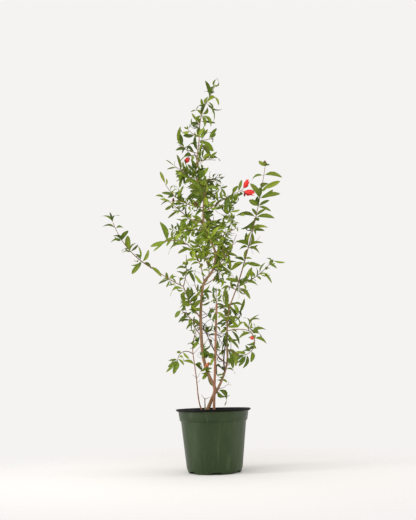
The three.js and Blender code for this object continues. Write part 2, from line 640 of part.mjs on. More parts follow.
function potGeometry() {
  const lip = POT.rimRadius;
  const outside = [
    [0, 0],
    [POT.footRadius, 0],
    [POT.footRadius + 3, 1.6],
    [POT.heelRadius, POT.heelHeight],
    [POT.waistRadius, POT.waistHeight],
    [POT.collarRadius - 1, POT.stepHeight - 2],
    [POT.collarRadius, POT.stepHeight],
    [POT.collarTopRadius, POT.collarTopHeight],
    [lip - 1.2, POT.height - 4.4],
    [lip, POT.height - 3],
    [lip - 1, POT.height],
    [lip - 5.5, POT.height],
  ];
  const inside = potInside(0).reverse();
  let pot = solidOf(turned([...outside, ...inside, [0, POT.floor]]));
  for (let k = 0; k < DRAIN.count; k += 1) {
    const notch = new THREE.BoxGeometry(2 * DRAIN.reach, DRAIN.width, 2 * DRAIN.height);
    notch.translate(POT.heelRadius, 0, 0);
    notch.rotateZ(radians(DRAIN.firstAzimuth + (360 / DRAIN.count) * k));
    pot = pot.subtract(solidOf(notch));
  }
  return geometryOf(pot);
}

/** The space that the pot takes up, which no leaf enters. */
function potSpace() {
  const [radius, height] = [POT.rimRadius + 1, POT.height + 1];
  return solidOf(turned([[0, 0], [radius, 0], [radius, height], [0, height]]));
}

/** The radius of a profile at a height between its points. */
function radiusAtHeight(profile, height) {
  const above = profile.findIndex(([, level]) => level > height);
  const [[lowRadius, low], [highRadius, high]] = [profile[above - 1], profile[above]];
  return lowRadius + ((highRadius - lowRadius) * (height - low)) / (high - low);
}

function soilGeometry() {
  const wall = potInside(SOIL_CLEARANCE);
  const below = wall.filter(([, height]) => height < SOIL_HEIGHT);
  const surface = [[radiusAtHeight(wall, SOIL_HEIGHT), SOIL_HEIGHT], [0, SOIL_HEIGHT]];
  const bottom = [0, POT.floor + SOIL_CLEARANCE];
  return geometryOf(solidOf(turned([bottom, ...below, ...surface])));
}

// ---------------------------------------------------------------- assembly

const tree = new THREE.Group();
const limbs = new Map(); // every limb's and shoot's centre line and sleeve, by name
const placed = []; // solids that leaves and twigs keep clear of, each with its owner's name

function material(colour, roughness) {
  return new THREE.MeshStandardMaterial({ color: colour, roughness, metalness: 0 });
}

function addMesh(name, geometry, colour, roughness = 0.8) {
  const mesh = new THREE.Mesh(geometry, material(colour, roughness));
  mesh.name = name;
  tree.add(mesh);
}

/** Remembers a solid so that later pieces stay clear of it. */
function keepClearOf(owner, solid) {
  placed.push({ owner, solid, box: solid.boundingBox() });
}

/** Whether a solid meets any placed piece but its owner's. */
function touches(owner, solid) {
  const box = solid.boundingBox();
  return placed.some((other) =>
    other.owner !== owner
    && [0, 1, 2].every((axis) => box.min[axis] < other.box.max[axis])
    && [0, 1, 2].every((axis) => other.box.min[axis] < box.max[axis])
    && !solid.intersect(other.solid).isEmpty());
}

/** Cuts a new limb to stand clear of every limb that is already there, and keeps its line. */
function fitLimb(name, line, shapeAt) {
  const limb = [...limbs.values()].reduce((rest, other) => rest.subtract(other.sleeve), shapeAt(0));
  limbs.set(name, { line, sleeve: shapeAt(JOINT_GAP) });
  keepClearOf(name, limb);
  return limb;
}

/** Adds a woody limb along a centre line. */
function addLimb(row, line, radiusAt) {
  const shape = { sides: row.sides ?? 6, rings: row.rings ?? 4, flatFoot: row.flatFoot ?? null };
  const shapeAt = (grown) =>
    limbSolid(line, (share) => radiusAt(share) + grown, { ...shape, extra: grown });
  addMesh(row.name, geometryOf(fitLimb(row.name, line, shapeAt)), COLOURS[row.wood ?? "bark"]);
}

function taper({ girth, tip, bulk = 1 }) {
  return (share) => (girth + (tip - girth) * share ** bulk) / 2;
}

function addStem(row) {
  const foot = SOIL_HEIGHT + JOINT_GAP;
  const whole = courseLine(row.course);
  const line = new CentreLine([
    whole.at((foot - whole.points[0].z) / whole.length),
    ...whole.points.filter((point) => point.z > foot + 1),
  ]);
  const body = taper(row);
  const flared = (share) => body(share) + row.flare * Math.exp((-share * line.length) / FLARE_FADE);
  addLimb({ ...row, flatFoot: foot }, line, flared);
}

function addBough(row) {
  const line = arcLine(limbs.get(row.on).line.at(row.at), row);
  addLimb(row, line, taper(row));
}

/** The dead stub: a short upright snag with two fine twigs at its head. */
function addDeadStub({ name, x, y, height, girth, tip, twigs }) {
  const foot = SOIL_HEIGHT + JOINT_GAP;
  const head = new THREE.Vector3(x, y, foot + height);
  const line = new CentreLine([new THREE.Vector3(x, y, foot), head]);
  const snag = limbSolid(line, taper({ girth, tip }), { sides: 6, rings: 2, flatFoot: foot });
  const sticks = twigs.ways.map(([heading, rise]) => {
    const course = { heading, turn: 0, rise, lift: 0, length: twigs.length };
    return twigSolid({ line: arcLine(line.at(twigs.at), course), girth: twigs.girth, tip: twigs.tip });
  });
  const solid = wasm.Manifold.union([snag, ...sticks]);
  keepClearOf(name, solid);
  addMesh(name, geometryOf(solid), COLOURS.deadWood);
}

/** The stem of a shoot, which stands before any leaf grows. */
function raiseShoot(row) {
  const line = arcLine(limbs.get(row.on).line.at(row.at), row);
  const girth = SHOOT_GIRTH.base + SHOOT_GIRTH.perLength * row.length;
  const radiusAt = taper({ girth, tip: SHOOT_GIRTH.tip });
  const rings = Math.max(2, Math.round(row.length / SHOOT_STEP));
  const core = line.straightened(rings);
  const shapeAt = (grown) =>
    limbSolid(core, (share) => radiusAt(share) + grown, { sides: 3, rings, extra: grown });
  return { row, line, core, stem: fitLimb(row.name, line, shapeAt) };
}

/** A mass of foliage: one shoot with its twigs, leaves and blossom, fused into one solid. */
function addMass({ row, line, core, stem }) {
  const { leaves, twigs, blooms } = growth(row, line, core);
  let mass = stem;
  for (const bloom of blooms) {
    mass = mass.add(bloomSolid(bloom));
  }
  for (const twig of twigs) {
    if (!touches(row.name, twigSolid(twig, LEAF_CLEARANCE))) {
      mass = mass.add(twigSolid(twig));
      leaves.push(...twig.leaves);
    }
  }
  for (const leaf of leaves) {
    const crossed = !mass.intersect(leafSolid(outerBlade(leaf))).isEmpty();
    if (!crossed && !touches(row.name, leafSolid(leaf, LEAF_CLEARANCE))) {
      mass = mass.add(leafSolid(leaf));
    }
  }
  keepClearOf(row.name, mass);
  addMesh(row.name, geometryOf(mass), COLOURS[row.tone], 0.55);
}

addMesh("pot", potGeometry(), COLOURS.pot, 0.5);
addMesh("potting_mix", soilGeometry(), COLOURS.soil, 1);
keepClearOf("pot", potSpace());
STEMS.forEach(addStem);
addLimb(RIGHT_STEM, courseLine(RIGHT_STEM.course), taper(RIGHT_STEM));
addDeadStub(DEAD_STUB);
BOUGHS.forEach(addBough);
SHOOTS.map(raiseShoot).forEach(addMass);

export default tree;
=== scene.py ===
import math
import random

import bmesh
import bpy
import numpy as np
from mathutils import Matrix, Vector, noise


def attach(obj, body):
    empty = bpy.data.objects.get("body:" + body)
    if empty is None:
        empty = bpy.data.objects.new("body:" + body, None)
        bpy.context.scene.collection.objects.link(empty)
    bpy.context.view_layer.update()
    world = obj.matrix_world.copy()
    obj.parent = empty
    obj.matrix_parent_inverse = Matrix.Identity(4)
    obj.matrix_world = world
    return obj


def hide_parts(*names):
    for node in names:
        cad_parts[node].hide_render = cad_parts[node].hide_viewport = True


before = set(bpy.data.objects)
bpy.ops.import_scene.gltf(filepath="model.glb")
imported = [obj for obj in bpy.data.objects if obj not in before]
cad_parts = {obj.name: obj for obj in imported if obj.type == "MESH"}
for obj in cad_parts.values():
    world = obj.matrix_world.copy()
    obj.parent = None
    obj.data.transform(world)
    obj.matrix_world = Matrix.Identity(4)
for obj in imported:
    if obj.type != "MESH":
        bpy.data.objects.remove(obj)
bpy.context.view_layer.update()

# ------------------------------------------------------------------ finishes and pieces
# Every piece is a mesh whose materials are wired from nodes. The plant and its pot are given in
# millimetres; the floor, the lights and the camera's eye are given in metres.

MM = 0.001


def linear(red, green, blue):
    """A shader colour from everyday 0 to 255 values."""
    def channel(value):
        share = value / 255
        return share / 12.92 if share <= 0.04045 else ((share + 0.055) / 1.055) ** 2.4
    return (channel(red), channel(green), channel(blue), 1.0)


class Finish:
    """A material and the shortcuts for wiring its nodes."""

    def __init__(self, name, roughness, specular=0.5, coat=0.0, coat_roughness=0.1):
        self.material = bpy.data.materials.new(name)
        self.material.use_nodes = True
        self.nodes = self.material.node_tree.nodes
        self.links = self.material.node_tree.links
        self.shader = self.nodes["Principled BSDF"]
        self.shader.inputs["Roughness"].default_value = roughness
        self.shader.inputs["Specular IOR Level"].default_value = specular
        self.shader.inputs["Coat Weight"].default_value = coat
        self.shader.inputs["Coat Roughness"].default_value = coat_roughness
        self.place = self.nodes.new("ShaderNodeTexCoord").outputs["Object"]

    def stretched(self, x, y, z):
        """Object coordinates with each axis multiplied."""
        mapping = self.nodes.new("ShaderNodeMapping")
        mapping.inputs["Scale"].default_value = (x, y, z)
        self.links.new(self.place, mapping.inputs["Vector"])
        return mapping.outputs["Vector"]

    def grain(self, vector, scale, detail=4.0, rough=0.55):
        """Noise from 0 to 1."""
        node = self.nodes.new("ShaderNodeTexNoise")
        node.inputs["Scale"].default_value = scale
        node.inputs["Detail"].default_value = detail
        node.inputs["Roughness"].default_value = rough
        self.links.new(vector, node.inputs["Vector"])
        return node.outputs["Fac"]

    def ramp(self, value, *stops):
        """Colours or greys along a value: each stop is (position, colour)."""
        node = self.nodes.new("ShaderNodeValToRGB")
        elements = node.color_ramp.elements
        while len(elements) < len(stops):
            elements.new(0.5)
        for element, (position, colour) in zip(elements, stops):
            element.position = position
            element.color = colour if isinstance(colour, tuple) else (colour, colour, colour, 1.0)
        self.links.new(value, node.inputs["Fac"])
        return node.outputs["Color"]

    def mix(self, share, first, second, blend="MIX"):
        """Two colours mixed by a share, which may be a socket or a number."""
        node = self.nodes.new("ShaderNodeMix")
        node.data_type = "RGBA"
        node.blend_type = blend
        for socket, value in (("Factor", share), ("A", first), ("B", second)):
            target = next(s for s in node.inputs if s.name == socket and s.enabled)
            if isinstance(value, (float, int, tuple)):
                target.default_value = value
            else:
                self.links.new(value, target)
        return next(s for s in node.outputs if s.enabled)

    def colour(self, value):
        self.links.new(value, self.shader.inputs["Base Color"])

    def roughness(self, value):
        self.links.new(value, self.shader.inputs["Roughness"])

    def bump(self, height, strength, distance):
        node = self.nodes.new("ShaderNodeBump")
        node.inputs["Strength"].default_value = strength
        node.inputs["Distance"].default_value = distance
        self.links.new(height, node.inputs["Height"])
        self.links.new(node.outputs["Normal"], self.shader.inputs["Normal"])


def finished(name, mesh, materials, slot, *nodes):
    """Puts a mesh in the scene as a piece that rides on the body and stands for CAD nodes."""
    piece = bpy.data.objects.new(name, mesh)
    bpy.context.scene.collection.objects.link(piece)
    for material in materials:
        mesh.materials.append(material)
    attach(piece, "root")
    if nodes:
        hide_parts(*nodes)
    return piece


# ------------------------------------------------------------------ pot
# An injection-moulded nursery pot of thin, dark green plastic with a rolled black lip and a
# black inside. The wall tapers to a foot with a rounded heel, a wider collar carries the lip,
# and six shallow notches round the foot let water out.

SOIL_HEIGHT = 154
POT_SPINS = 144
POT_OUTSIDE = [
    (0, 0), (64, 0), (70, 0.1), (72.4, 0.9), (74.2, 3), (75.2, 6.5), (77.6, 14),
    (82.8, 60), (91.2, 136), (91.6, 138.2), (93.8, 139.6), (95, 141.4), (96.6, 152),
    (98.4, 164.2), (100.6, 165.6), (103.2, 166.4), (104.6, 167.4), (105, 169.2),
    (104.7, 170.9), (103.8, 171.8), (102.4, 172), (100.4, 171.4), (98.8, 169.6),
]
POT_INSIDE = [
    (97, 165.5), (95, 152), (93.2, 142), (89.4, 137), (80.8, 60), (75.4, 13), (73, 7.5), (70, 2.9),
    (60, 2.4), (0, 2.4),
]
LIP_HEIGHT = 165.9
POT_HEEL = 75.2
NOTCHES = 6
NOTCH_WIDTH = 33
NOTCH_HEIGHT = 6
NOTCH_REACH = 9
FIRST_NOTCH = -86.5
WEDGE_ROUND = 3
WEDGE_TAPER = 0.72
WEDGE_STEPS = 4
FLOOR_TOP = 8
HALF_WALL = 0.9
POT_CREASE = 38
SAME_PLACE = 1e-6

green = Finish("moulded_green_plastic", 0.4, 0.4)
mottle = green.grain(green.stretched(1, 1, 0.55), 14, 5, 0.6)
speck = green.grain(green.place, 900, 2, 0.5)
scuff = green.ramp(green.grain(green.stretched(90, 90, 6), 1, 3), (0.55, 0.0), (0.8, 0.3))
body = green.ramp(mottle, (0.3, linear(27, 44, 8)), (0.52, linear(34, 53, 12)), (0.72, linear(44, 63, 20)))
green.colour(green.mix(scuff, body, linear(92, 110, 74)))
green.roughness(green.ramp(mottle, (0.3, 0.34), (0.7, 0.48)))
green.bump(speck, 0.12, 0.0002)

black = Finish("moulded_black_plastic", 0.55, 0.12)
smear = black.grain(black.place, 30, 4)
black.colour(black.ramp(smear, (0.35, linear(5, 5, 7)), (0.7, linear(13, 13, 15))))
black.roughness(black.ramp(smear, (0.35, 0.5), (0.7, 0.62)))
black.bump(black.grain(black.place, 700, 2), 0.1, 0.0002)


def wall_radius(height):
    """The radius of the pot's outside at a height."""
    rising = [p for p in POT_OUTSIDE if p[1] <= LIP_HEIGHT and p[0] > 0]
    return float(np.interp(height, [z for _, z in rising], [r for r, _ in rising]))


def pot_mesh():
    """The shell of the pot, spun from its outside and inside profiles."""
    bm = bmesh.new()
    profile = [bm.verts.new((r * MM, 0, z * MM)) for r, z in POT_OUTSIDE + POT_INSIDE]
    edges = [bm.edges.new(pair) for pair in zip(profile, profile[1:])]
    bmesh.ops.spin(bm, geom=profile + edges, angle=math.tau, steps=POT_SPINS, axis=(0, 0, 1),
                   cent=(0, 0, 0), use_merge=True)
    bmesh.ops.remove_doubles(bm, verts=bm.verts, dist=SAME_PLACE)
    bmesh.ops.recalc_face_normals(bm, faces=bm.faces)
    mesh = bpy.data.meshes.new("pot_shell")
    bm.to_mesh(mesh)
    bm.free()
    return mesh


def notch_cutter():
    """Rounded wedges that cut the drain notches out of the foot."""
    bm = bmesh.new()
    for k in range(NOTCHES):
        others = set(bm.verts)
        made = bmesh.ops.create_cube(bm, size=1.0)["verts"]
        size = (2 * NOTCH_REACH * MM, NOTCH_WIDTH * MM, 2 * NOTCH_HEIGHT * MM)
        bmesh.ops.scale(bm, vec=size, verts=made)
        upper = [v for v in made if v.co.z > 0]
        bmesh.ops.scale(bm, vec=(1, WEDGE_TAPER, 1), verts=upper)
        ridge = [e for e in bm.edges if all(v not in others and v.co.z > 0 for v in e.verts)
                 and abs(e.verts[0].co.y - e.verts[1].co.y) < SAME_PLACE]
        bmesh.ops.bevel(bm, geom=ridge, offset=WEDGE_ROUND * MM, segments=WEDGE_STEPS,
                        affect="EDGES", profile=0.5, material=-1)
        turn = Matrix.Rotation(math.radians(FIRST_NOTCH + 360 / NOTCHES * k), 4, "Z")
        seat = Matrix.Translation((POT_HEEL * MM, 0, 0))
        bmesh.ops.transform(bm, matrix=turn @ seat, verts=[v for v in bm.verts if v not in others])
    bmesh.ops.recalc_face_normals(bm, faces=bm.faces)
    mesh = bpy.data.meshes.new("notch_cutter")
    bm.to_mesh(mesh)
    bm.free()
    return mesh


pot = finished("nursery_pot", pot_mesh(), [green.material, black.material], "pot", "pot")
cutter = bpy.data.objects.new("notch_cutter", notch_cutter())
bpy.context.scene.collection.objects.link(cutter)
cut = pot.modifiers.new("notches", "BOOLEAN")
cut.operation = "DIFFERENCE"
cut.object = cutter
cut.solver = "EXACT"
bpy.context.view_layer.update()
carved = bpy.data.meshes.new_from_object(pot.evaluated_get(bpy.context.evaluated_depsgraph_get()))
pot.modifiers.clear()
pot.data = carved
bpy.data.objects.remove(cutter)
for face in carved.polygons:
    middle = face.center / MM
    radius = math.hypot(middle.x, middle.y)
    inside = middle.z > FLOOR_TOP and radius < wall_radius(middle.z) - HALF_WALL
    face.material_index = 1 if inside or middle.z > LIP_HEIGHT else 0
    face.use_smooth = True
carved.set_sharp_from_angle(angle=math.radians(POT_CREASE))

# ------------------------------------------------------------------ potting mix
# A moist peat and bark mix, raked level 18 mm below the lip and a little higher against the
# stems. Crumbs of bark and a few pale grains of perlite lie on its surface.

MIX_RADIUS = 94.2
MIX_CORNERS = 72
SKIRT_DEPTH = 20
SKIRT_SHARE = 0.92
MIX_CUTS = 26
MIX_SWELL = 2.2
MIX_LUMP = 26
MIX_FRACTAL = (1.0, 2.0, 5)
MIX_SLICE = 3
MIX_RISE = 0.5
EDGE_CALM = 0.5
EDGE_FROM = 0.85
EDGE_DROP = 1.4
CRUMBS = 620
CRUMB_SIZES = (2, 7)
CRUMB_FLAT = 0.45
CRUMB_TILT = 0.35
CRUMB_NARROW = (0.45, 0.9)
CRUMB_ROUGH = (0.75, 1.2)
CRUMB_LIFT = 0.2
CRUMB_MARGIN = 3
PERLITE = 60
PERLITE_SIZES = (1.6, 3.4)
PERLITE_FLAT = 0.8
random.seed(11)

mix = Finish("moist_potting_mix", 0.92, 0.25)
lumps = mix.grain(mix.place, 180, 6, 0.7)
mix.colour(mix.ramp(lumps, (0.3, linear(34, 24, 17)), (0.5, linear(62, 45, 31)), (0.75, linear(96, 74, 52))))
mix.bump(lumps, 0.9, 0.002)

chip = Finish("bark_crumbs", 0.85, 0.3)
chips = chip.grain(chip.place, 90, 4)
chip.colour(chip.ramp(chips, (0.35, linear(52, 35, 24)), (0.55, linear(92, 64, 42)),
                      (0.75, linear(124, 94, 64))))
chip.bump(chip.grain(chip.place, 600, 3), 0.5, 0.0006)

perlite = Finish("perlite_grains", 0.8, 0.4)
perlite.colour(perlite.ramp(perlite.grain(perlite.place, 400, 3), (0.3, linear(205, 200, 190)),
                            (0.7, linear(238, 236, 230))))


def surface_height(x, y):
    """Height of the mix at a place, in millimetres."""
    reach = math.hypot(x, y) / MIX_RADIUS
    rough = noise.fractal(Vector((x, y, MIX_SLICE)) / MIX_LUMP, *MIX_FRACTAL)
    edge = max(0, reach - EDGE_FROM) / (1 - EDGE_FROM)
    return SOIL_HEIGHT + MIX_RISE + MIX_SWELL * rough * (1 - EDGE_CALM * reach) - EDGE_DROP * edge


def mix_mesh():
    """The uneven top of the mix, closed below by a skirt."""
    bm = bmesh.new()
    bmesh.ops.create_circle(bm, cap_ends=True, cap_tris=True, radius=MIX_RADIUS * MM,
                            segments=MIX_CORNERS)
    bmesh.ops.subdivide_edges(bm, edges=[e for e in bm.edges if not e.is_boundary], cuts=MIX_CUTS,
                              use_grid_fill=True)
    for v in bm.verts:
        v.co.z = surface_height(v.co.x / MM, v.co.y / MM) * MM
    bmesh.ops.triangulate(bm, faces=[f for f in bm.faces if len(f.verts) > 4])
    skirt = bmesh.ops.extrude_edge_only(bm, edges=[e for e in bm.edges if e.is_boundary])["geom"]
    low = [v for v in skirt if isinstance(v, bmesh.types.BMVert)]
    bmesh.ops.translate(bm, vec=(0, 0, -SKIRT_DEPTH * MM), verts=low)
    bmesh.ops.scale(bm, vec=(SKIRT_SHARE, SKIRT_SHARE, 1), verts=low)
    bmesh.ops.contextual_create(bm, geom=[e for e in bm.edges if e.is_boundary])
    bmesh.ops.recalc_face_normals(bm, faces=bm.faces)
    for face in bm.faces:
        face.smooth = True
    mesh = bpy.data.meshes.new("potting_mix_surface")
    bm.to_mesh(mesh)
    bm.free()
    return mesh


def crumb_mesh(name, count, sizes, flat):
    """Small rough lumps scattered on the mix, joined."""
    bm = bmesh.new()
    for _ in range(count):
        angle = random.uniform(0, math.tau)
        reach = (MIX_RADIUS - CRUMB_MARGIN) * math.sqrt(random.random())
        x, y = reach * math.cos(angle), reach * math.sin(angle)
        size = random.uniform(*sizes)
        spin = Matrix.Rotation(random.uniform(0, math.tau), 4, "Z")
        tilt = Matrix.Rotation(random.gauss(0, CRUMB_TILT), 4, "X")
        shape = Matrix.Diagonal((size, size * random.uniform(*CRUMB_NARROW), size * flat, 1))
        height = surface_height(x, y) + CRUMB_LIFT * size
        seat = Matrix.Translation(Vector((x, y, height)) * MM)
        made = bmesh.ops.create_icosphere(bm, subdivisions=1, radius=0.5 * MM)["verts"]
        for v in made:
            v.co *= random.uniform(*CRUMB_ROUGH)
        bmesh.ops.transform(bm, matrix=seat @ spin @ tilt @ shape, verts=made)
    mesh = bpy.data.meshes.new(name)
    bm.to_mesh(mesh)
    bm.free()
    return mesh


finished("potting_mix_surface", mix_mesh(), [mix.material], "potting_mix", "potting_mix")
crumbs = crumb_mesh("bark_crumbs", CRUMBS, CRUMB_SIZES, CRUMB_FLAT)
finished("bark_crumbs", crumbs, [chip.material], "potting_mix")
grains = crumb_mesh("perlite_grains", PERLITE, PERLITE_SIZES, PERLITE_FLAT)
finished("perlite_grains", grains, [perlite.material], None)

# ------------------------------------------------------------------ centre lines and tubes
# A limb is a round tube along a centre line: a smooth course through chosen points, or an
# arc that turns and lifts evenly from where it springs.

ARC_STEPS = 24
STEM_STEPS = 12
NEARLY_UPRIGHT = 0.05
RING_WELD = 2e-6
UP = Vector((0, 0, 1))


def direction(heading, rise):
    """The unit vector with a heading seen from above and a rise above level, in degrees."""
    level = math.cos(math.radians(rise))
    turn = math.radians(heading)
    return Vector((level * math.cos(turn), level * math.sin(turn), math.sin(math.radians(rise))))


def crosswise(along):
    """Two unit vectors square to a direction: one level, and one as near to up as it can be."""
    level = UP.cross(along)
    if level.length < NEARLY_UPRIGHT:
        level = Vector((1, 0, 0)) - along * along.x
    level.normalize()
    return level, along.cross(level)


class CentreLine:
    """A limb's centre line in millimetres, read by the share of its length."""

    def __init__(self, points):
        self.points = points
        self.run = [0.0]
        for before, after in zip(points, points[1:]):
            self.run.append(self.run[-1] + (after - before).length)
        self.length = self.run[-1]

    def span(self, share):
        distance = min(max(share, 0), 1) * self.length
        i = 1
        while i < len(self.points) - 1 and self.run[i] < distance:
            i += 1
        return i, (distance - self.run[i - 1]) / (self.run[i] - self.run[i - 1])

    def at(self, share):
        i, part = self.span(share)
        return self.points[i - 1].lerp(self.points[i], part)

    def along(self, share):
        i, _ = self.span(share)
        return (self.points[i] - self.points[i - 1]).normalized()


def course_line(course):
    """The smooth line through a stem's course points."""
    known = [Vector(place) for place in course]
    padded = [2 * known[0] - known[1], *known, 2 * known[-1] - known[-2]]
    points = []
    for a, b, c, d in zip(padded, padded[1:], padded[2:], padded[3:]):
        enter, leave = (c - a) / 2, (d - b) / 2
        for k in range(STEM_STEPS):
            t = k / STEM_STEPS
            points.append(b + enter * t + (3 * (c - b) - 2 * enter - leave) * t ** 2
                          + (2 * (b - c) + enter + leave) * t ** 3)
    return CentreLine([*points, known[-1]])


def arc_line(start, heading, turn, rise, lift, length):
    """The line of a limb that starts at a point and turns and lifts evenly."""
    points = [start.copy()]
    for k in range(ARC_STEPS):
        share = (k + 0.5) / ARC_STEPS
        way = direction(heading + turn * share, rise + lift * share)
        points.append(points[-1] + way * (length / ARC_STEPS))
    return CentreLine(points)


def taper(girth, tip, bulk=1):
    """A radius that runs from one girth to another along a limb."""
    return lambda share: (girth + (tip - girth) * share ** bulk) / 2


def tubes(name, limbs, resolution, ring_gap):
    """One mesh of capped round tubes along centre lines, each limb (line, radius_at)."""
    curve = bpy.data.curves.new(name, "CURVE")
    curve.dimensions = "3D"
    curve.bevel_depth = MM
    curve.bevel_resolution = resolution
    curve.use_fill_caps = True
    for line, radius_at in limbs:
        rings = max(2, round(line.length / ring_gap))
        spline = curve.splines.new("POLY")
        spline.points.add(rings)
        for k, point in enumerate(spline.points):
            point.co = (*(line.at(k / rings) * MM), 1)
            point.radius = radius_at(k / rings)
        spline.use_smooth = True
    holder = bpy.data.objects.new(name, curve)
    bpy.context.scene.collection.objects.link(holder)
    bpy.context.view_layer.update()
    mesh = bpy.data.meshes.new_from_object(holder.evaluated_get(bpy.context.evaluated_depsgraph_get()))
    bpy.data.objects.remove(holder)
    bpy.data.curves.remove(curve)
    mesh.materials.clear()
    mesh.name = name
    bm = bmesh.new()
    bm.from_mesh(mesh)
    bmesh.ops.remove_doubles(bm, verts=bm.verts, dist=RING_WELD)
    bmesh.ops.recalc_face_normals(bm, faces=bm.faces)
    bm.to_mesh(mesh)
    bm.free()
    return mesh


# ------------------------------------------------------------------ stems and boughs
# The leader in tan bark, a right-hand stem that forks from it, two thinner reddish stems and
# a dead snag, with eight slender boughs. Bark is finely furrowed along the wood, and the stems
# swell a little at each old leaf node.

JOINT_GAP = 0.34
FLARE_FADE = 9
RING_GAP = 2.4
NODE_GAP = 23
NODE_SWELL = 0.1
NODE_HALF = 1.8
STEM_NODES_FROM = 7
BOUGH_NODES_FROM = 3
FURROW_SCALE = Vector((520, 520, 70))
FURROW_FRACTAL = (0.8, 2.0, 4)
FLAKE_SCALE = 160
FURROW_SHARE = 0.75
FLAKE_SHARE = 0.45
LIMB_RELIEF = 0.32
SNAG_RELIEF = 0.3
LIMB_ROUND = 9
SNAG_ROUND = 6
SNAG_RINGS = 2
SNAG_FORK = 0.94
SNAG_WAYS = ((160, 45), (-15, 15))
SNAG_TWIG_LIFT = 12
SNAG_TWIG_GIRTH = (1.8, 1)

# name, course, girth, tip, bulk, flare, wood
STEMS = [
    ("leader_stem", [
        (-25, 4, 150), (-6, 3, 192), (6, 2, 226), (-12, 1, 268), (-26, 0, 325), (-30, 0, 420),
        (-26, 0, 485), (-18, 0, 530), (8, 0, 566), (18, 0, 612), (5, 0, 655), (-15, 0, 715),
        (-14, 0, 795), (-34, 0, 850), (-30, 0, 905), (-21, 0, 985),
    ], 10.2, 2.6, 1.3, 3.2, "bark"),
    ("front_stem", [(1, -16, 150), (4, -18, 215), (9, -24, 310), (13, -28, 400), (17, -30, 465)],
     7.2, 5.8, 1, 1.5, "young_bark"),
    ("left_stem", [(-24, -12, 150), (-39, -14, 190), (-46, -16, 262), (-54, -18, 330), (-53, -18, 352)],
     3.8, 2.4, 1, 1.2, "young_bark"),
]
RIGHT_STEM = ("right_stem", [
    (8, 2, 214), (28, 6, 254), (43, 8, 300), (44, 9, 345), (46, 10, 400), (54, 12, 455),
    (63, 15, 480), (80, 18, 522),
], 7, 3.2, 1, 0, "bark")
SNAG = (-23, -23, 47, 4, 3, 16)  # x, y, height, girth, tip, twig length

# name, on, at, heading, turn, rise, lift, length, girth, tip
BOUGHS = [
    ("far_left_bough", "leader_stem", 0.33, -155, 0, 50, 20, 105, 3.8, 2.8),
    ("far_left_arm", "far_left_bough", 1, -155, -20, 20, 20, 90, 2.8, 2.2),
    ("arching_bough", "leader_stem", 0.45, -115, -25, 80, -45, 125, 3.2, 2.4),
    ("right_fork_bough", "leader_stem", 0.44, 20, 20, 25, 15, 55, 3.4, 2.4),
    ("flower_bough", "leader_stem", 0.715, -25, -10, 15, 10, 45, 3, 2.2),
    ("upper_left_low_bough", "leader_stem", 0.67, 180, -35, 25, 0, 55, 2.8, 2.2),
    ("right_low_bough", "right_stem", 0.57, -25, -10, 10, -25, 70, 2.8, 2.2),
    ("crossing_bough", "right_stem", 0.275, 205, -95, 35, 30, 75, 3.6, 2.6),
]


def swollen(radius_at, length, offset):
    """A radius that swells at every old leaf node."""
    def radius(share):
        away = (share * length + offset) % NODE_GAP - NODE_GAP / 2
        return radius_at(share) * (1 + NODE_SWELL * math.exp(-(away / NODE_HALF) ** 2))
    return radius


def furrow(mesh, depth):
    """Raises the lengthwise relief of bark on a mesh of tubes."""
    for v in mesh.vertices:
        ridges = noise.fractal(v.co * FURROW_SCALE, *FURROW_FRACTAL)
        flakes = noise.noise(v.co * FLAKE_SCALE)
        v.co += v.normal * (depth * MM * (FURROW_SHARE * ridges + FLAKE_SHARE * flakes))


def bark_finish(name, dark, middle, light, roughness):
    """Bark with fine lengthwise grain, pale lenticels and darker furrows."""
    bark = Finish(name, roughness, 0.3)
    grain = bark.grain(bark.stretched(1, 1, 0.12), 620, 5, 0.65)
    patches = bark.grain(bark.stretched(1, 1, 0.4), 55, 4, 0.6)
    tone = bark.ramp(grain, (0.3, dark), (0.5, middle), (0.72, light))
    bark.colour(bark.mix(bark.ramp(patches, (0.35, 0.0), (0.7, 0.55)), tone, light))
    bark.bump(grain, 0.6, 0.0006)
    return bark.material


bark = bark_finish("tan_bark", linear(84, 60, 40), linear(136, 102, 72), linear(172, 138, 104), 0.8)
young_bark = bark_finish("reddish_bark", linear(92, 58, 42), linear(140, 94, 70), linear(170, 124, 96), 0.74)
grey_bark = bark_finish("dead_grey_bark", linear(84, 74, 64), linear(126, 112, 98), linear(160, 148, 132),
                        0.88)

lines = {}
limbs = {"bark": [], "young_bark": []}


def flared(radius_at, length, flare):
    """A radius that widens into the root collar at the mix."""
    return lambda share: radius_at(share) + flare * math.exp(-share * length / FLARE_FADE)


def raise_stem(name, course, girth, tip, bulk, flare, wood):
    """A stem along its course; one with a flare starts just above the mix."""
    line = course_line(course)
    radius_at = taper(girth, tip, bulk)
    if flare:
        foot = SOIL_HEIGHT + JOINT_GAP
        start = line.at((foot - line.points[0].z) / line.length)
        line = CentreLine([start, *[p for p in line.points if p.z > foot + 1]])
        radius_at = flared(radius_at, line.length, flare)
    lines[name] = line
    limbs[wood].append((line, swollen(radius_at, line.length, STEM_NODES_FROM)))


for row in STEMS:
    raise_stem(*row)
raise_stem(*RIGHT_STEM)
for name, on, at, heading, turn, rise, lift, length, girth, tip in BOUGHS:
    lines[name] = arc_line(lines[on].at(at), heading, turn, rise, lift, length)
    limbs["bark"].append((lines[name], swollen(taper(girth, tip), length, BOUGH_NODES_FROM)))

for wood, material, slot, nodes in (
    ("bark", bark, "bark", ["leader_stem", "right_stem", *[row[0] for row in BOUGHS]]),
    ("young_bark", young_bark, "young_bark", ["front_stem", "left_stem"]),
):
    mesh = tubes(f"{wood}_limbs", limbs[wood], LIMB_ROUND, RING_GAP)
    furrow(mesh, LIMB_RELIEF)
    finished(f"{wood}_limbs", mesh, [material], slot, *nodes)

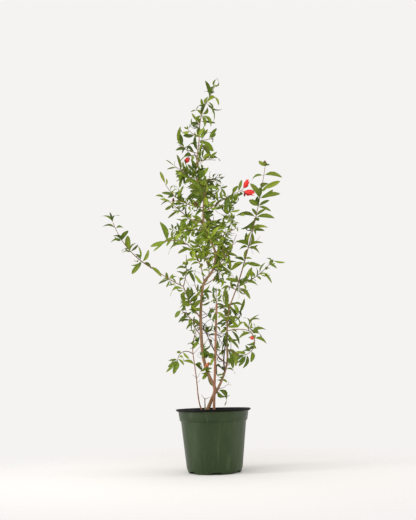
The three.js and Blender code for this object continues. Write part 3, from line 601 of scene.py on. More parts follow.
snag_x, snag_y, snag_height, snag_girth, snag_tip, snag_twig = SNAG
snag_foot = Vector((snag_x, snag_y, SOIL_HEIGHT + JOINT_GAP))
snag_line = CentreLine([snag_foot, snag_foot + UP * snag_height])
snag = [(snag_line, taper(snag_girth, snag_tip))]
for heading, rise in SNAG_WAYS:
    fork = arc_line(snag_line.at(SNAG_FORK), heading, 0, rise, SNAG_TWIG_LIFT, snag_twig)
    snag.append((fork, taper(*SNAG_TWIG_GIRTH)))
snag_mesh = tubes("dead_snag", snag, SNAG_ROUND, SNAG_RINGS)
furrow(snag_mesh, SNAG_RELIEF)
finished("dead_snag", snag_mesh, [grey_bark], "dead_wood", "dead_stub")

# ------------------------------------------------------------------ shoots and sprays
# Each mass of foliage is one arching shoot. Where the rule clothes it, it has pairs of narrow
# leaves and side twigs at its nodes, and on the far side of the crown also short spurs with
# tufts of smaller leaves.

SPREAD = 48
SPREAD_VARIES = 30
END_SPREAD = 12
LEAST_LEAF = 0.75
LEAF_VARIES = 0.4
LEAST_ROLL = 25
ROLL_VARIES = 50
YOUTH = 0.15
PAIR_TWIST = 90
TWIST_VARIES = 50
BEFORE_TIP = 0.3
TWIG_SPREAD = 50
TWIG_LIFT = 20
TWIG_LEAF = 0.9
TWIG_GAP = 0.8
TWIG_BARE = 0.2
LEAST_TWIG = 0.75
TWIG_VARIES = 0.5
FOOT_SHARE = 1.2
TIP_LOSS = 0.5

# name, on, at, heading, turn, rise, lift, length and tone; then, for a shoot that the rule
# clothes, the leaves' length and gap, the share of twigs and their length, droop, bare share
# and roll. The leaves of the other shoots are all set one by one further on.
SHOOTS = [
    ("leader_top", "leader_stem", 1, -95, 175, 75, -20, 175, "leaf"),
    ("tip_left", "leader_stem", 0.99, 165, -10, 25, 30, 50, "leaf"),
    ("tip_right", "leader_stem", 0.975, -20, 15, 0, 10, 45, "fresh_leaf"),
    ("leader_left", "leader_stem", 0.93, -175, 40, 10, 15, 65, "leaf"),
    ("high_left", "leader_stem", 0.92, 175, -35, 25, -65, 45, "dark_leaf"),
    ("high_right", "leader_stem", 0.96, -15, -25, -10, -45, 40, "leaf"),
    ("upper_right", "leader_stem", 0.9, 5, 20, 15, -15, 60, "leaf"),
    ("back_top", "leader_stem", 0.88, 80, -10, 35, 10, 70, "leaf", 38, 18, 0, 20, 0.35, 0.1, 0),
    ("upper_left_flower", "leader_stem", 0.84, -170, 60, -5, 70, 80, "leaf",
     38, 15, 0.25, 28, 0.3, 0.02, 90),
    ("right_shoulder", "leader_stem", 0.81, 25, -25, 40, -35, 80, "dark_leaf",
     36, 18, 0.2, 28, 0.35, 0.02, 90),
    ("front_high", "leader_stem", 0.76, -75, -15, 10, 15, 85, "leaf", 40, 16.5, 0.3, 34, 0.3, 0.02, 20),
    ("back_high", "leader_stem", 0.76, 105, -15, 25, 15, 105, "dark_leaf", 40, 21, 0.25, 36, 0.3, 0.05, 0),
    ("upper_left_high", "leader_stem", 0.73, -190, 50, 5, 50, 140, "leaf", 38, 19, 0.2, 34, 0.3, 0.02, 90),
    ("flower", "flower_bough", 1, -30, 0, 22, -8, 92, "leaf"),
    ("upper_left_low", "upper_left_low_bough", 1, 180, -20, 45, -5, 100, "leaf",
     34, 19, 0.2, 28, 0.35, 0.05, 84),
    ("left_bright", "leader_stem", 0.65, -160, 15, 0, -35, 115, "fresh_leaf",
     36, 19.5, 0.25, 30, 0.3, 0.05, 90),
    ("back_mid", "leader_stem", 0.62, 85, 15, 20, 20, 120, "dark_leaf", 40, 23, 0.25, 38, 0.3, 0.06, 0),
    ("front_bright", "leader_stem", 0.63, -100, -10, 5, 20, 95, "fresh_leaf",
     38, 17, 0.3, 32, 0.3, 0.04, 0),
    ("mid_right", "leader_stem", 0.7, 5, -15, 30, 0, 100, "leaf", 36, 17, 0.3, 30, 0.3, 0.03, 90),
    ("center_right", "leader_stem", 0.6, -30, 5, 25, -5, 95, "leaf", 36, 17.5, 0.3, 28, 0.3, 0.03, 90),
    ("inner_right", "leader_stem", 0.5, -25, 5, 35, 60, 235, "leaf", 35, 23, 0.2, 28, 0.35, 0.15, 90),
    ("center_bright", "leader_stem", 0.48, -80, -75, 80, -50, 105, "fresh_leaf",
     40, 18, 0.25, 32, 0.3, 0.05, 90),
    ("broad_leaf", "arching_bough", 1, -145, -10, 25, -55, 95, "fresh_leaf"),
    ("back_right", "right_fork_bough", 1, 45, 20, 45, 20, 95, "dark_leaf", 36, 19, 0.2, 28, 0.3, 0.05, 90),
    ("back_low", "leader_stem", 0.4, 115, -20, 30, 20, 115, "dark_leaf", 40, 24, 0.2, 32, 0.35, 0.15, 0),
    ("left_upright", "far_left_bough", 1, 30, 45, 70, 25, 95, "leaf"),
    ("far_left", "far_left_arm", 1, -170, 10, 25, 45, 190, "dark_leaf"),
    ("left_cluster", "far_left_bough", 0.45, 120, -20, 35, 20, 60, "dark_leaf"),
    ("left_low", "leader_stem", 0.3, -160, 15, 40, -5, 80, "leaf"),
    ("left_back", "leader_stem", 0.27, 140, -15, 45, 10, 100, "dark_leaf", 36, 23, 0.2, 30, 0.4, 0.2, 0),
    ("right_tall", "right_stem", 1, 25, -40, 70, 10, 390, "dark_leaf"),
    ("right_outer", "right_stem", 0.99, 25, -5, 20, 30, 150, "leaf"),
    ("right_node", "right_stem", 0.97, -55, 10, 15, -90, 45, "dark_leaf"),
    ("left_node", "right_stem", 0.96, -155, 20, 20, -20, 40, "leaf"),
    ("right_back", "right_stem", 0.7, 85, 10, 30, 20, 95, "dark_leaf", 36, 23, 0.2, 30, 0.35, 0.12, 0),
    ("right_cluster_side", "right_stem", 0.66, 10, 30, 25, 15, 55, "leaf", 34, 17, 0.1, 20, 0.35, 0.1, 90),
    ("right_cluster_front", "right_stem", 0.6, -100, 0, 60, 0, 70, "leaf", 38, 17, 0.1, 24, 0.4, 0.1, 0),
    ("right_low_upright", "right_low_bough", 1, 85, -30, 55, -10, 50, "leaf"),
    ("bud", "right_low_bough", 1, -40, 60, -30, -145, 95, "leaf"),
    ("right_base", "right_stem", 0.4, -40, -15, -15, -15, 50, "dark_leaf"),
    ("crossing", "crossing_bough", 1, 165, 0, 60, 10, 75, "dark_leaf"),
    ("front_top", "front_stem", 1, -125, 85, 75, 0, 45, "dark_leaf"),
    ("low_flower", "leader_stem", 0.18, -80, 15, -25, 5, 32, "dark_leaf"),
    ("left_stem", "left_stem", 0.99, 10, 0, 85, -25, 60, "dark_leaf"),
    ("bottom_left", "left_stem", 0.86, -175, 50, 45, -130, 65, "fresh_leaf"),
]
OPEN_ROW_LENGTH = 9
OPEN_SHOOTS = {row[0] for row in SHOOTS if len(row) == OPEN_ROW_LENGTH}
# How many spurs with tufts stand for each leaf place of the shoots on the far side.
SPURS = {
    "back_top": 0.3, "back_high": 1.2, "back_mid": 1, "back_right": 1,
    "back_low": 0.2, "left_back": 0.4, "right_back": 0.6,
}
# Shoots whose tip has died back, with the share that still stands.
SHORTENED = {"inner_right": 0.55}
SHORTENED_STEPS = 12
# Shoots of which only a share of the rule's leaves stands beside the ones set one by one.
THINNED = {
    "back_top": 0.5, "back_mid": 0.8, "back_right": 0.8, "back_low": 0.5, "left_back": 0.5, "right_back": 0.5,
    "front_high": 0.5, "front_bright": 0.5, "left_bright": 0.5, "center_bright": 0.5, "center_right": 0.1,
    "inner_right": 0.1, "mid_right": 0.2, "right_shoulder": 0.15, "upper_left_flower": 0.35,
    "upper_left_high": 0.4, "upper_left_low": 0.35, "right_cluster_front": 0.4, "right_cluster_side": 0.1,
}
SPUR_LENGTH = (9, 26)
SPUR_GAP = 9
SPUR_GAP_VARIES = 3
SPUR_LEAF = (0.72, 1.05)
SPUR_ALONG = 0.55
SPUR_ASIDE = 0.83
SPUR_TURN = 30
SPUR_LIFT = 20
SPUR_BARE = 0.35
SPUR_GIRTH = (1.1, 0.7)
TWIG_GIRTH = (1.8, 1.0)
SHOOT_GIRTH = (2.6, 0.004, 1.5)
NAME_FACTOR = 31
DRAW_FACTOR = 1664525
DRAW_STEP = 1013904223
DRAW_RANGE = 2 ** 32


def chance(name):
    """A repeatable stream of numbers from 0 to 1 that belongs to a name."""
    state = 0
    for letter in name:
        state = (state * NAME_FACTOR + ord(letter)) % DRAW_RANGE

    def draw():
        nonlocal state
        state = (state * DRAW_FACTOR + DRAW_STEP) % DRAW_RANGE
        return state / DRAW_RANGE
    return draw


def within(limits, pick):
    """The number at a share of the way between two limits."""
    return limits[0] + (limits[1] - limits[0]) * pick


def aimed(along):
    """The heading and the rise of a direction, in degrees."""
    heading = math.degrees(math.atan2(along.y, along.x))
    return heading, math.degrees(math.asin(min(max(along.z, -1), 1)))


class Spray:
    """The wood and the leaves of one mass of foliage."""

    def __init__(self, name, on, at, heading, turn, rise, lift, length, tone, *clothing):
        self.name = name
        self.tone = tone
        self.line = arc_line(lines[on].at(at), heading, turn, rise, lift, length)
        self.leaves = []
        self.twigs = []
        self.wood = []
        if clothing:
            self.leaf, self.gap, self.branching, self.twig, self.droop, self.bare, self.roll = clothing
            self.draw = chance(name + "_spray")
            self.grow()
        base, per_length, tip = SHOOT_GIRTH
        spine = self.line
        if name in SHORTENED:
            spine = CentreLine([self.line.at(k / SHORTENED_STEPS * SHORTENED[name])
                                for k in range(SHORTENED_STEPS + 1)])
        self.wood.append((spine, taper(base + per_length * spine.length, tip)))
        if name in SPURS:
            self.draw = chance(name + "_spurs")
            self.fill(SPURS[name])
        keep = chance(name + "_kept")
        self.leaves = [leaf for leaf in self.leaves if keep() < THINNED.get(name, 1)]

    def clothe(self, shoot, leaf, gap, bare, branching, hang, roll):
        """Pairs of leaves along a shoot, some of them side twigs instead, and one leaf at its tip."""
        nodes = max(1, math.floor(shoot.length * (1 - bare) / gap + 0.5))
        for k in range(1, nodes + 1):
            share = bare + (1 - bare) * (k - BEFORE_TIP) / nodes
            stalk = shoot.along(share)
            level, raised = crosswise(stalk)
            pair_turn = roll + PAIR_TWIST * k + TWIST_VARIES * (self.draw() - 0.5)
            for half in (0, 180):
                turn = math.radians(pair_turn + half)
                side = level * math.cos(turn) + raised * math.sin(turn)
                if self.draw() < branching and k < nodes:
                    self.twigs.append((share, side, self.draw()))
                else:
                    spread = SPREAD + SPREAD_VARIES * (self.draw() - 0.5)
                    self.add_leaf(shoot.at(share), stalk, side, spread, leaf * (1 - YOUTH * share ** 4), hang)
        end = shoot.along(1)
        self.add_leaf(shoot.at(1), end, crosswise(end)[1], END_SPREAD, leaf * (1 - YOUTH), hang / 2)

    def add_leaf(self, root, stalk, side, spread, size, hang):
        """One leaf that spreads from its stalk to a side and hangs a little."""
        along = stalk * math.cos(math.radians(spread)) + side * math.sin(math.radians(spread))
        along = (along - UP * (hang * (0.5 + self.draw()))).normalized()
        length = size * (LEAST_LEAF + LEAF_VARIES * self.draw())
        lean = -1 if self.draw() < 0.5 else 1
        roll = lean * (LEAST_ROLL + ROLL_VARIES * self.draw())
        self.leaves.append((root, along, roll, length))

    def grow(self):
        """The leaves and side twigs, by the rule that shapes the whole mass."""
        self.clothe(self.line, self.leaf, self.gap, self.bare, self.branching, self.droop, self.roll)
        for share, side, stretch in list(self.twigs):
            stalk = self.line.along(share)
            turn = math.radians(TWIG_SPREAD)
            along = stalk * math.cos(turn) + side * math.sin(turn)
            heading, rise = aimed(along)
            length = self.twig * (LEAST_TWIG + TWIG_VARIES * stretch) * (FOOT_SHARE - TIP_LOSS * share)
            twig = arc_line(self.line.at(share), heading, 0, rise, TWIG_LIFT, length)
            self.clothe(twig, self.leaf * TWIG_LEAF, self.gap * TWIG_GAP, TWIG_BARE, 0, self.droop,
                        90 * (len(self.twigs) % 2))
            self.wood.append((twig, taper(*TWIG_GIRTH)))

    def fill(self, spurs):
        """Short spurs between the nodes, each with a tuft of smaller leaves."""
        for parent, _ in list(self.wood):
            places = parent.length * (1 - self.bare) / self.gap * 2 * spurs
            for k in range(math.floor(places + self.draw())):
                share = min(self.bare + (1 - self.bare) * (k + self.draw()) / max(places, 1), 1)
                stalk = parent.along(share)
                level, raised = crosswise(stalk)
                turn = math.tau * self.draw()
                side = level * math.cos(turn) + raised * math.sin(turn)
                length = within(SPUR_LENGTH, self.draw())
                heading, rise = aimed(stalk * SPUR_ALONG + side * SPUR_ASIDE)
                bend = SPUR_TURN * (self.draw() - 0.5)
                spur = arc_line(parent.at(share), heading, bend, rise, SPUR_LIFT, length)
                size = self.leaf * within(SPUR_LEAF, self.draw())
                gap = SPUR_GAP + SPUR_GAP_VARIES * self.draw()
                self.clothe(spur, size, gap, SPUR_BARE, 0, self.droop, 360 * self.draw())
                self.wood.append((spur, taper(*SPUR_GIRTH)))


sprays = [Spray(*row) for row in SHOOTS]
for spray in sprays:
    lines[f"{spray.name}_shoot"] = spray.line

# ------------------------------------------------------------------ leaf blades
# Blades are narrow and glossy, folded along a pale midrib and paler beneath.

# The outline of a leaf: the share of its length, and its half width as a share of the whole.
OUTLINE = [
    (0, 0.05), (0.08, 0.08), (0.2, 0.5), (0.38, 0.88), (0.58, 1), (0.78, 0.84), (0.92, 0.46), (1, 0.05),
]
RIB_SHARE = 0.07
BLADE_THICKNESS = 0.35
SLIM_LEAF = 0.25
SLIM_VARIES = (0.85, 1.15)
ARCH = (0.05, 0.5)
CURL = (-0.05, 0.2)
FOLD = (0.1, 0.5)
WAVE = 0.12
WAVE_RATE = (5, 9)
WAVE_START = 6
SWAY = 0.06
TWIST = 0.5
BOWED = 0.3
SET_LIFT = 0.6
BLADE_STRETCH = 1.12
BLADE_CREASE = 55
BLADE, MIDRIB, UNDERSIDE = 0, 1, 2
LIGHT_PATCH = (1.3, 1.18, 1.1)
DEEP_PATCH = (0.72, 0.8, 0.8)


def leaf_template():
    """Stations along and across one blade, and its faces, each with the part it belongs to."""
    columns = (-1, -RIB_SHARE, RIB_SHARE, 1)
    below = len(columns)
    points, faces = [], []
    for share, half in OUTLINE:
        points += [(share, across * half, abs(across) * half, 0) for across in columns]
        points += [(share, 0, 0, 1)]
    for row in range(len(OUTLINE) - 1):
        a = row * (below + 1)
        b = a + below + 1
        for column, part in enumerate((BLADE, MIDRIB, BLADE)):
            faces.append((a + column, a + column + 1, b + column + 1, b + column, part))
        faces.append((a + below, a, b, b + below, UNDERSIDE))
        faces.append((a + below - 1, a + below, b + below, b + below - 1, UNDERSIDE))
    last = (below + 1) * (len(OUTLINE) - 1)
    faces.append((last, last + 1, last + 2, last + 3, MIDRIB))
    faces.append((3, 2, 1, 0, MIDRIB))
    return np.array(points), faces


def blade_places(leaf, template, rng):
    """The corners of one blade, which arches over and down from its stalk, or along its bend."""
    share, across, spread, under = template.T
    root, along, roll, length, width, _, bend = leaf
    level, raised = crosswise(along)
    turn = math.radians(roll)
    normal = np.array(raised * math.cos(turn) + level * math.sin(turn))
    side = np.array(level * math.cos(turn) - raised * math.sin(turn))
    fall = np.array(along * along.z - UP)
    arch = rng.uniform(*ARCH)
    curl = rng.uniform(*CURL)
    fold = rng.uniform(*FOLD)
    wave = rng.uniform(0, WAVE) * np.sin(share * rng.uniform(*WAVE_RATE) + rng.uniform(0, WAVE_START))
    sway = rng.uniform(-SWAY, SWAY) * length * share ** 2
    twist = rng.uniform(-TWIST, TWIST) * share
    half = width / 2
    sideways = across * half * np.cos(twist) + sway
    lift = half * (fold * spread + wave * np.abs(across)) + across * half * np.sin(twist)
    lift -= curl * length * share ** 2 + BLADE_THICKNESS * under * (1 - share)
    reach = length * (share - BOWED * (arch ** 2 + curl ** 2) * share ** 3)
    drop = np.outer(arch * length * share ** 2, fall)
    if bend is not None:
        lift *= SET_LIFT
        sideways = across * half
        reach = length * share
        drop = np.outer(share ** 2, np.array(bend))
        lift += curl * length * share ** 2
    return (np.array(root) + np.outer(reach, np.array(along)) + np.outer(sideways, side)
            + np.outer(lift, normal) + drop)


def leaf_mesh(name, leaves):
    """Joined blades. Each leaf is (root, along, roll, length, width, shade, bend)."""
    template, faces = leaf_template()
    rng = np.random.default_rng(len(name))
    corners, polygons, slots = [], [], []
    for number, leaf in enumerate(leaves):
        corners.append(blade_places(leaf, template, rng) * MM)
        first = number * len(template)
        polygons += [[first + c for c in face[:4]] for face in faces]
        slots += [len(BLADE_PARTS) * leaf[5] + face[4] for face in faces]
    mesh = bpy.data.meshes.new(name)
    mesh.from_pydata(np.concatenate(corners).tolist(), [], polygons)
    mesh.polygons.foreach_set("material_index", slots)
    mesh.shade_smooth()
    mesh.set_sharp_from_angle(angle=math.radians(BLADE_CREASE))
    mesh.update()
    return mesh


def leaf_finish(name, shade, roughness, gloss):
    """A blade with faint mottling, as a plain colour with little change across it."""
    blade = Finish(name, roughness, 0.16, gloss, 0.3)
    plain = linear(*shade)
    light = (*[min(channel * more, 1) for channel, more in zip(plain, LIGHT_PATCH)], 1)
    deep = (*[channel * less for channel, less in zip(plain, DEEP_PATCH)], 1)
    mottled = blade.grain(blade.place, 260, 3, 0.6)
    blade.colour(blade.ramp(mottled, (0.3, deep), (0.5, plain), (0.72, light)))
    blade.bump(blade.grain(blade.place, 800, 2), 0.15, 0.0003)
    return blade.material


# Blade, midrib and underside of every shade, by the tone of the spray.
SHADES = {
    "leaf": [
        ((96, 116, 24), (142, 154, 56), (118, 132, 50)),
        ((70, 92, 18), (118, 132, 44), (96, 114, 38)),
        ((122, 140, 32), (160, 168, 66), (138, 148, 58)),
    ],
    "dark_leaf": [
        ((80, 100, 20), (128, 138, 48), (104, 120, 42)),
        ((56, 76, 14), (106, 118, 38), (84, 100, 34)),
        ((102, 122, 26), (144, 152, 56), (124, 136, 50)),
    ],
    "fresh_leaf": [
        ((118, 142, 32), (162, 172, 70), (140, 154, 62)),
        ((140, 162, 42), (178, 186, 84), (158, 172, 74)),
        ((96, 120, 28), (142, 154, 60), (122, 138, 54)),
    ],
}
YELLOWING = ((170, 150, 44), (184, 162, 72), (178, 160, 72))
BLADE_PARTS = (("blade", 0.5, 0.03), ("midrib", 0.6, 0), ("underside", 0.75, 0))

# ------------------------------------------------------------------ the camera's frame
# The single twigs and leaves have their places in the camera's frame, in pixels from its upper
# left corner, and each is carried back to the depth of the limb that bears it.

FRAME_WIDTH = 416
FRAME_HEIGHT = 520
EYE = Vector((-4.7 * MM, -2.0, 0.225))
PITCH = 10.54
ROLL = 1.4
FOCAL_PIXELS = 695.2
CAMERA_TURN = (Matrix.Rotation(math.radians(90 + PITCH), 3, "X")
               @ Matrix.Rotation(math.radians(-ROLL), 3, "Z"))
SHARE_STEPS = 400
seen_limbs = {}


def seen(point):
    """The pixel at which the camera sees a point given in millimetres."""
    ray = CAMERA_TURN.transposed() @ (point * MM - EYE)
    return Vector((FRAME_WIDTH / 2 - FOCAL_PIXELS * ray.x / ray.z,
                   FRAME_HEIGHT / 2 + FOCAL_PIXELS * ray.y / ray.z))


def at_depth(pixel, depth):
    """The point behind a pixel that lies as deep as the limb, in millimetres."""
    across = (pixel[0] - FRAME_WIDTH / 2) / FOCAL_PIXELS
    up = (FRAME_HEIGHT / 2 - pixel[1]) / FOCAL_PIXELS
    ray = CAMERA_TURN @ Vector((across, up, -1))
    return (EYE + ray * ((depth * MM - EYE.y) / ray.y)) / MM


def share_at(limb, pixel):
    """The share of a limb's length that is seen nearest to a pixel."""
    if limb not in seen_limbs:
        seen_limbs[limb] = [seen(lines[limb].at(k / SHARE_STEPS)) for k in range(SHARE_STEPS + 1)]
    aim = Vector(pixel)
    away = [(place - aim).length for place in seen_limbs[limb]]
    return away.index(min(away)) / SHARE_STEPS


# ------------------------------------------------------------------ single twigs
# Side twigs, forks and stubs on the shoots and stems, and dry dead twigs among the lower stems.

# Name, the limb it springs from, its course in pixels from the root on, and its girth in
# millimetres. The twigs whose names start with dark are dead.
SET_TWIGS = [
    ("forked_twig", "right_stem", [(219.5, 389.8), (223.5, 387.5), (226.5, 385.2), (228.6, 384)], 1.7),
    ("fork_up", "forked_twig", [(228.4, 384), (228.6, 382.5), (228.5, 381)], 1.1),
    ("fork_right", "forked_twig", [(228.4, 384), (230, 384.5), (231.5, 385.3)], 1),
    ("left_spike_a", "left_stem", [(197.2, 378.5), (195, 376.5), (192.3, 374.8)], 1.2),
    ("left_spike_b", "left_stem", [(197.2, 378.5), (198.7, 376), (199.8, 373)], 1.2),
    ("left_spike_c", "left_stem", [(197.6, 382.5), (199, 381.8), (199.9, 379.5)], 1.1),
    ("left_link", "left_stem", [(193.3, 354.2), (196, 351.3), (199, 347.8), (201.8, 344.8)], 1.3),
    ("left_hook", "leader_stem", [(203, 351.2), (200, 351.8), (198.2, 353.6), (197.6, 356.3)], 1.1),
    ("left_hook_b", "leader_stem", [(204, 358.8), (201.5, 358), (199, 357.5), (197.5, 356)], 1.1),
    ("grey_link", "left_upright_shoot", [(187, 282), (185, 279), (182, 274.5), (179, 271)], 1.1),
    ("grey_link_b", "left_upright_shoot", [
        (186.5, 279.5), (188.5, 284.5), (190.5, 290), (192.5, 297)
    ], 1.2),
    ("tall_link", "right_tall_shoot", [(239, 281.5), (234.8, 278.5), (232.5, 275), (230.5, 271)], 1.3),
    ("tall_spur", "right_tall_shoot", [(248.8, 246.5), (253, 243.3), (257.5, 239.8), (260.3, 236.3)], 1.3),
    ("thin_up_a", "right_tall_shoot", [(250, 240), (252, 250), (253.5, 254)], 1),
    ("right_thin", "right_stem", [(237.5, 290.5), (239.5, 295), (237.5, 300)], 1),
    ("dark_a", "leader_stem", [
        (202.3, 327), (204.2, 330.5), (206.5, 333), (208.2, 337.5), (210.2, 343.3), (213.3, 349),
        (215.6, 353.2)
    ], 2),
    ("dark_b", "dark_a", [(206.5, 333), (211, 334.8), (215.5, 335), (219.3, 335.8), (222.3, 337.3)], 1.5),
    ("dark_c", "dark_a", [(206.5, 333), (208.5, 331), (210.5, 329.5)], 1.4),
    ("dark_d", "dark_a", [(209.5, 341), (210.3, 345), (208, 347.2), (204.3, 349.6)], 1.5),
    ("dark_e", "dark_a", [(208.5, 338.5), (206.5, 341), (204.3, 343.8)], 1),
    ("dark_f", "leader_stem", [
        (202.8, 318.8), (206, 316.5), (208.5, 314.5), (212.5, 312), (215.3, 306.5)
    ], 1.6),
    ("dark_g", "leader_stem", [(202.2, 310.3), (204.5, 312.3), (206.7, 315), (210, 316)], 1.5),
    ("dark_h", "leader_stem", [(202.8, 315.8), (205.5, 313.8), (208, 313.6)], 1.2),
    ("dark_i", "crossing_bough", [
        (222.5, 361.3), (219.6, 359), (218.2, 356), (216.3, 353.5), (217.3, 351)
    ], 2.4),
    ("dark_j", "crossing_bough", [(218.3, 356.3), (217.4, 360.2), (221.3, 361.8), (223.8, 358.5)], 1.8),
    ("dark_k", "right_stem", [(228, 331.5), (223.3, 335.5), (219.5, 337.5), (217.2, 337.8)], 1.4),
    ("dark_l", "right_stem", [(227, 346.5), (222, 343), (219.5, 338.8), (217.5, 334.6)], 1.4),
    ("dark_m", "right_stem", [(227, 341.5), (223, 340.8), (220.8, 345.5), (218.6, 347.6)], 1.2),
    ("dark_n", "right_stem", [(227.4, 336), (224, 333.8), (220, 333.8), (216, 331)], 1.4),
    ("dark_o", "right_stem", [(228, 326), (224.5, 324.5), (220, 324), (216.6, 324.3)], 1.4),
    ("dark_p", "leader_stem", [
        (203, 333.2), (206.6, 333.2), (210, 336.8), (213, 338.5), (216, 343.3)
    ], 1.2),
    ("dark_q", "right_stem", [(227, 350), (230.8, 348.8), (230.6, 341), (229.5, 337)], 1.2),
    ("dark_r", "front_stem", [(216.3, 322), (211.5, 319.5), (207.8, 320.8), (205.3, 323.5)], 1.2),
    ("dark_s", "front_stem", [(216.3, 332), (212.5, 330.5), (209, 329), (205.6, 324)], 1.2),
    ("dark_t", "leader_stem", [(202.7, 301), (207, 299.8), (209.5, 296.5)], 1),
    ("arch_link", "arching_bough", [(188, 245.5), (184, 242.5), (181, 240.8), (176, 241)], 1.8),
    ("ul_hook", "upper_left_flower_shoot", [
        (181.5, 172.5), (179, 170.5), (176, 167), (174.2, 163.8), (175.2, 160.5)
    ], 1.3),
    ("ul_stub", "upper_left_flower_shoot", [(185.5, 174), (186.5, 169.5), (186.8, 164.3)], 1.2),
    ("grey_spur", "upper_left_low_bough", [
        (188, 218), (185, 215.3), (182, 212.5), (178, 210), (174, 207.5)
    ], 1.1),
    ("sway_twig", "flower_bough", [
        (211.2, 207.3), (215, 209.5), (218, 212.8), (220, 213.8), (226, 215), (228, 215.8)
    ], 1.3),
    ("sway_fork", "sway_twig", [(228, 215.7), (230, 218), (231.5, 220.5), (231, 224.5)], 1),
    ("droop_spur", "mid_right_shoot", [
        (229, 200), (230.5, 203.5), (231, 207.5), (229.5, 211), (228.3, 214.5)
    ], 1),
    ("left_spur", "upper_left_high_shoot", [(187.5, 204.5), (184.5, 206.5), (181, 210), (179.5, 210.8)], 1),
    ("low_spur", "leader_stem", [
        (205, 221.8), (208, 220.2), (211.5, 219.8), (214, 221.5), (216.3, 224.6)
    ], 1.2),
    ("thin_right", "back_top_shoot", [(196.5, 165.5), (198.5, 163.5), (199.5, 166), (199.5, 168)], 0.9),
    ("arm_left", "upper_left_high_shoot", [(181.5, 201), (179, 204.5), (177.5, 206.5), (173.3, 206.8)], 1),
    ("knot_right", "mid_right_shoot", [(221, 204), (217, 206.2), (214.5, 206.6)], 1.6),
    ("center_stub", "center_right_shoot", [(216, 240.6), (219, 241.3), (223, 240.8)], 1),
    ("tall_thin", "center_right_shoot", [(225, 234.8), (225.5, 231), (226, 226), (228, 221.5)], 1.2),
    ("shoulder_stub", "right_shoulder_shoot", [(214, 179), (217, 182.2), (221, 184.5), (220.6, 180.5)], 1),
    ("shoulder_drop", "right_shoulder_shoot", [
        (212, 182), (211.3, 187), (212.3, 192), (214.8, 195.5), (217.6, 200.2)
    ], 1.1),
    ("shoulder_out", "right_shoulder_shoot", [(213, 180), (215.5, 184), (216, 188.3), (220, 188.2)], 1),
    ("left_bright_up", "left_bright_shoot", [(186.5, 231.3), (187, 226), (188, 221), (188.5, 218.8)], 1.2),
    ("left_bright_out", "left_bright_shoot", [(180, 234), (177, 231), (173.5, 230.5), (171.5, 228.5)], 0.9),
    ("mass_spur", "leader_stem", [
        (214.8, 252.5), (218, 250.3), (222, 249.2), (226, 250.2), (229.5, 251.8)
    ], 1.4),
    ("mass_drop", "mass_spur", [(222, 249.3), (224, 253), (225.5, 257), (226.5, 260.5)], 1.1),
    ("fork_twig", "leader_stem", [
        (211.5, 275.5), (214.5, 272), (217.3, 268.8), (218.8, 266.3), (221.5, 263.2)
    ], 1.9),
    ("fork_end", "right_fork_bough", [(216, 277.3), (218.3, 275.7), (220.7, 273.3)], 1.5),
    ("fork_up", "fork_end", [(219.5, 274.5), (219.3, 272), (219.8, 270.3)], 1),
    ("low_fork", "fork_end", [(218.8, 275.3), (220, 277.5), (221.3, 279.3)], 1),
    ("dark_twin", "right_stem", [(224.5, 372), (223.7, 360), (225, 347), (227.8, 334)], 3.4),
    ("dark_u", "leader_stem", [(202.5, 322), (204.5, 324), (206, 326.5)], 2),
    ("dark_v", "front_stem", [(216, 326), (218, 327), (220, 329)], 1.8),
    ("dark_w", "front_stem", [(216, 334), (218.5, 334.5), (222, 337)], 1.6),
    ("dark_x", "dark_f", [(208.4, 314.4), (211.5, 312.5), (213, 307)], 1.8),
    ("dark_y", "right_stem", [(228, 320), (230, 322), (232, 324)], 3),
    ("dark_z", "right_stem", [(227.5, 322), (225, 320), (224, 317)], 2.2),
    ("dark_aa", "dark_o", [(220, 324), (218, 324.3), (216.8, 324.5)], 1.4),
    ("dark_ab", "dark_l", [(219.5, 338.8), (219, 346), (219.3, 354)], 0.9),
    ("dark_ac", "right_stem", [(227, 341), (223.5, 345), (222.5, 352)], 1.2),
    ("dark_ad", "dark_d", [(208, 347.2), (206, 348.5), (204, 350)], 1.3),
    ("dark_ae", "leader_stem", [(200.5, 318), (198, 314), (196, 311)], 1.8),
    ("dark_af", "leader_stem", [(200.5, 326), (198, 325), (196, 323.5)], 1.2),
    ("dark_ag", "leader_stem", [(200.5, 326.5), (198, 327.8), (196, 330.5)], 1.2),
    ("dark_ah", "right_stem", [(228.5, 312), (225, 309), (221.5, 307.5)], 1.3),
    ("dark_ai", "leader_stem", [(203, 305), (206, 304), (209.3, 301.5)], 1.3),
]
DEAD_GIRTH = 1.5
TWIG_LEAN = 0.5
TWIG_TIP = 0.6

twig_lines = []
dead_lines = []
for name, on, course, girth in SET_TWIGS:
    root = lines[on].at(share_at(on, course[0]))
    draw = chance(name)
    lean = TWIG_LEAN * (draw() - 0.5)
    spots = [root]
    for pixel in course[1:]:
        spot = at_depth(pixel, root.y)
        spots.append(spot + Vector((0, lean * (spot - root).length, 0)))
    lines[name] = course_line(spots)
    if name.startswith("dark"):
        girth *= DEAD_GIRTH
        dead_lines.append((lines[name], taper(girth, TWIG_TIP * girth)))
    else:
        twig_lines.append((lines[name], taper(girth, TWIG_TIP * girth)))

# ------------------------------------------------------------------ single leaves
# Leaves that are set one by one, with the rule's leaves beside and behind them.

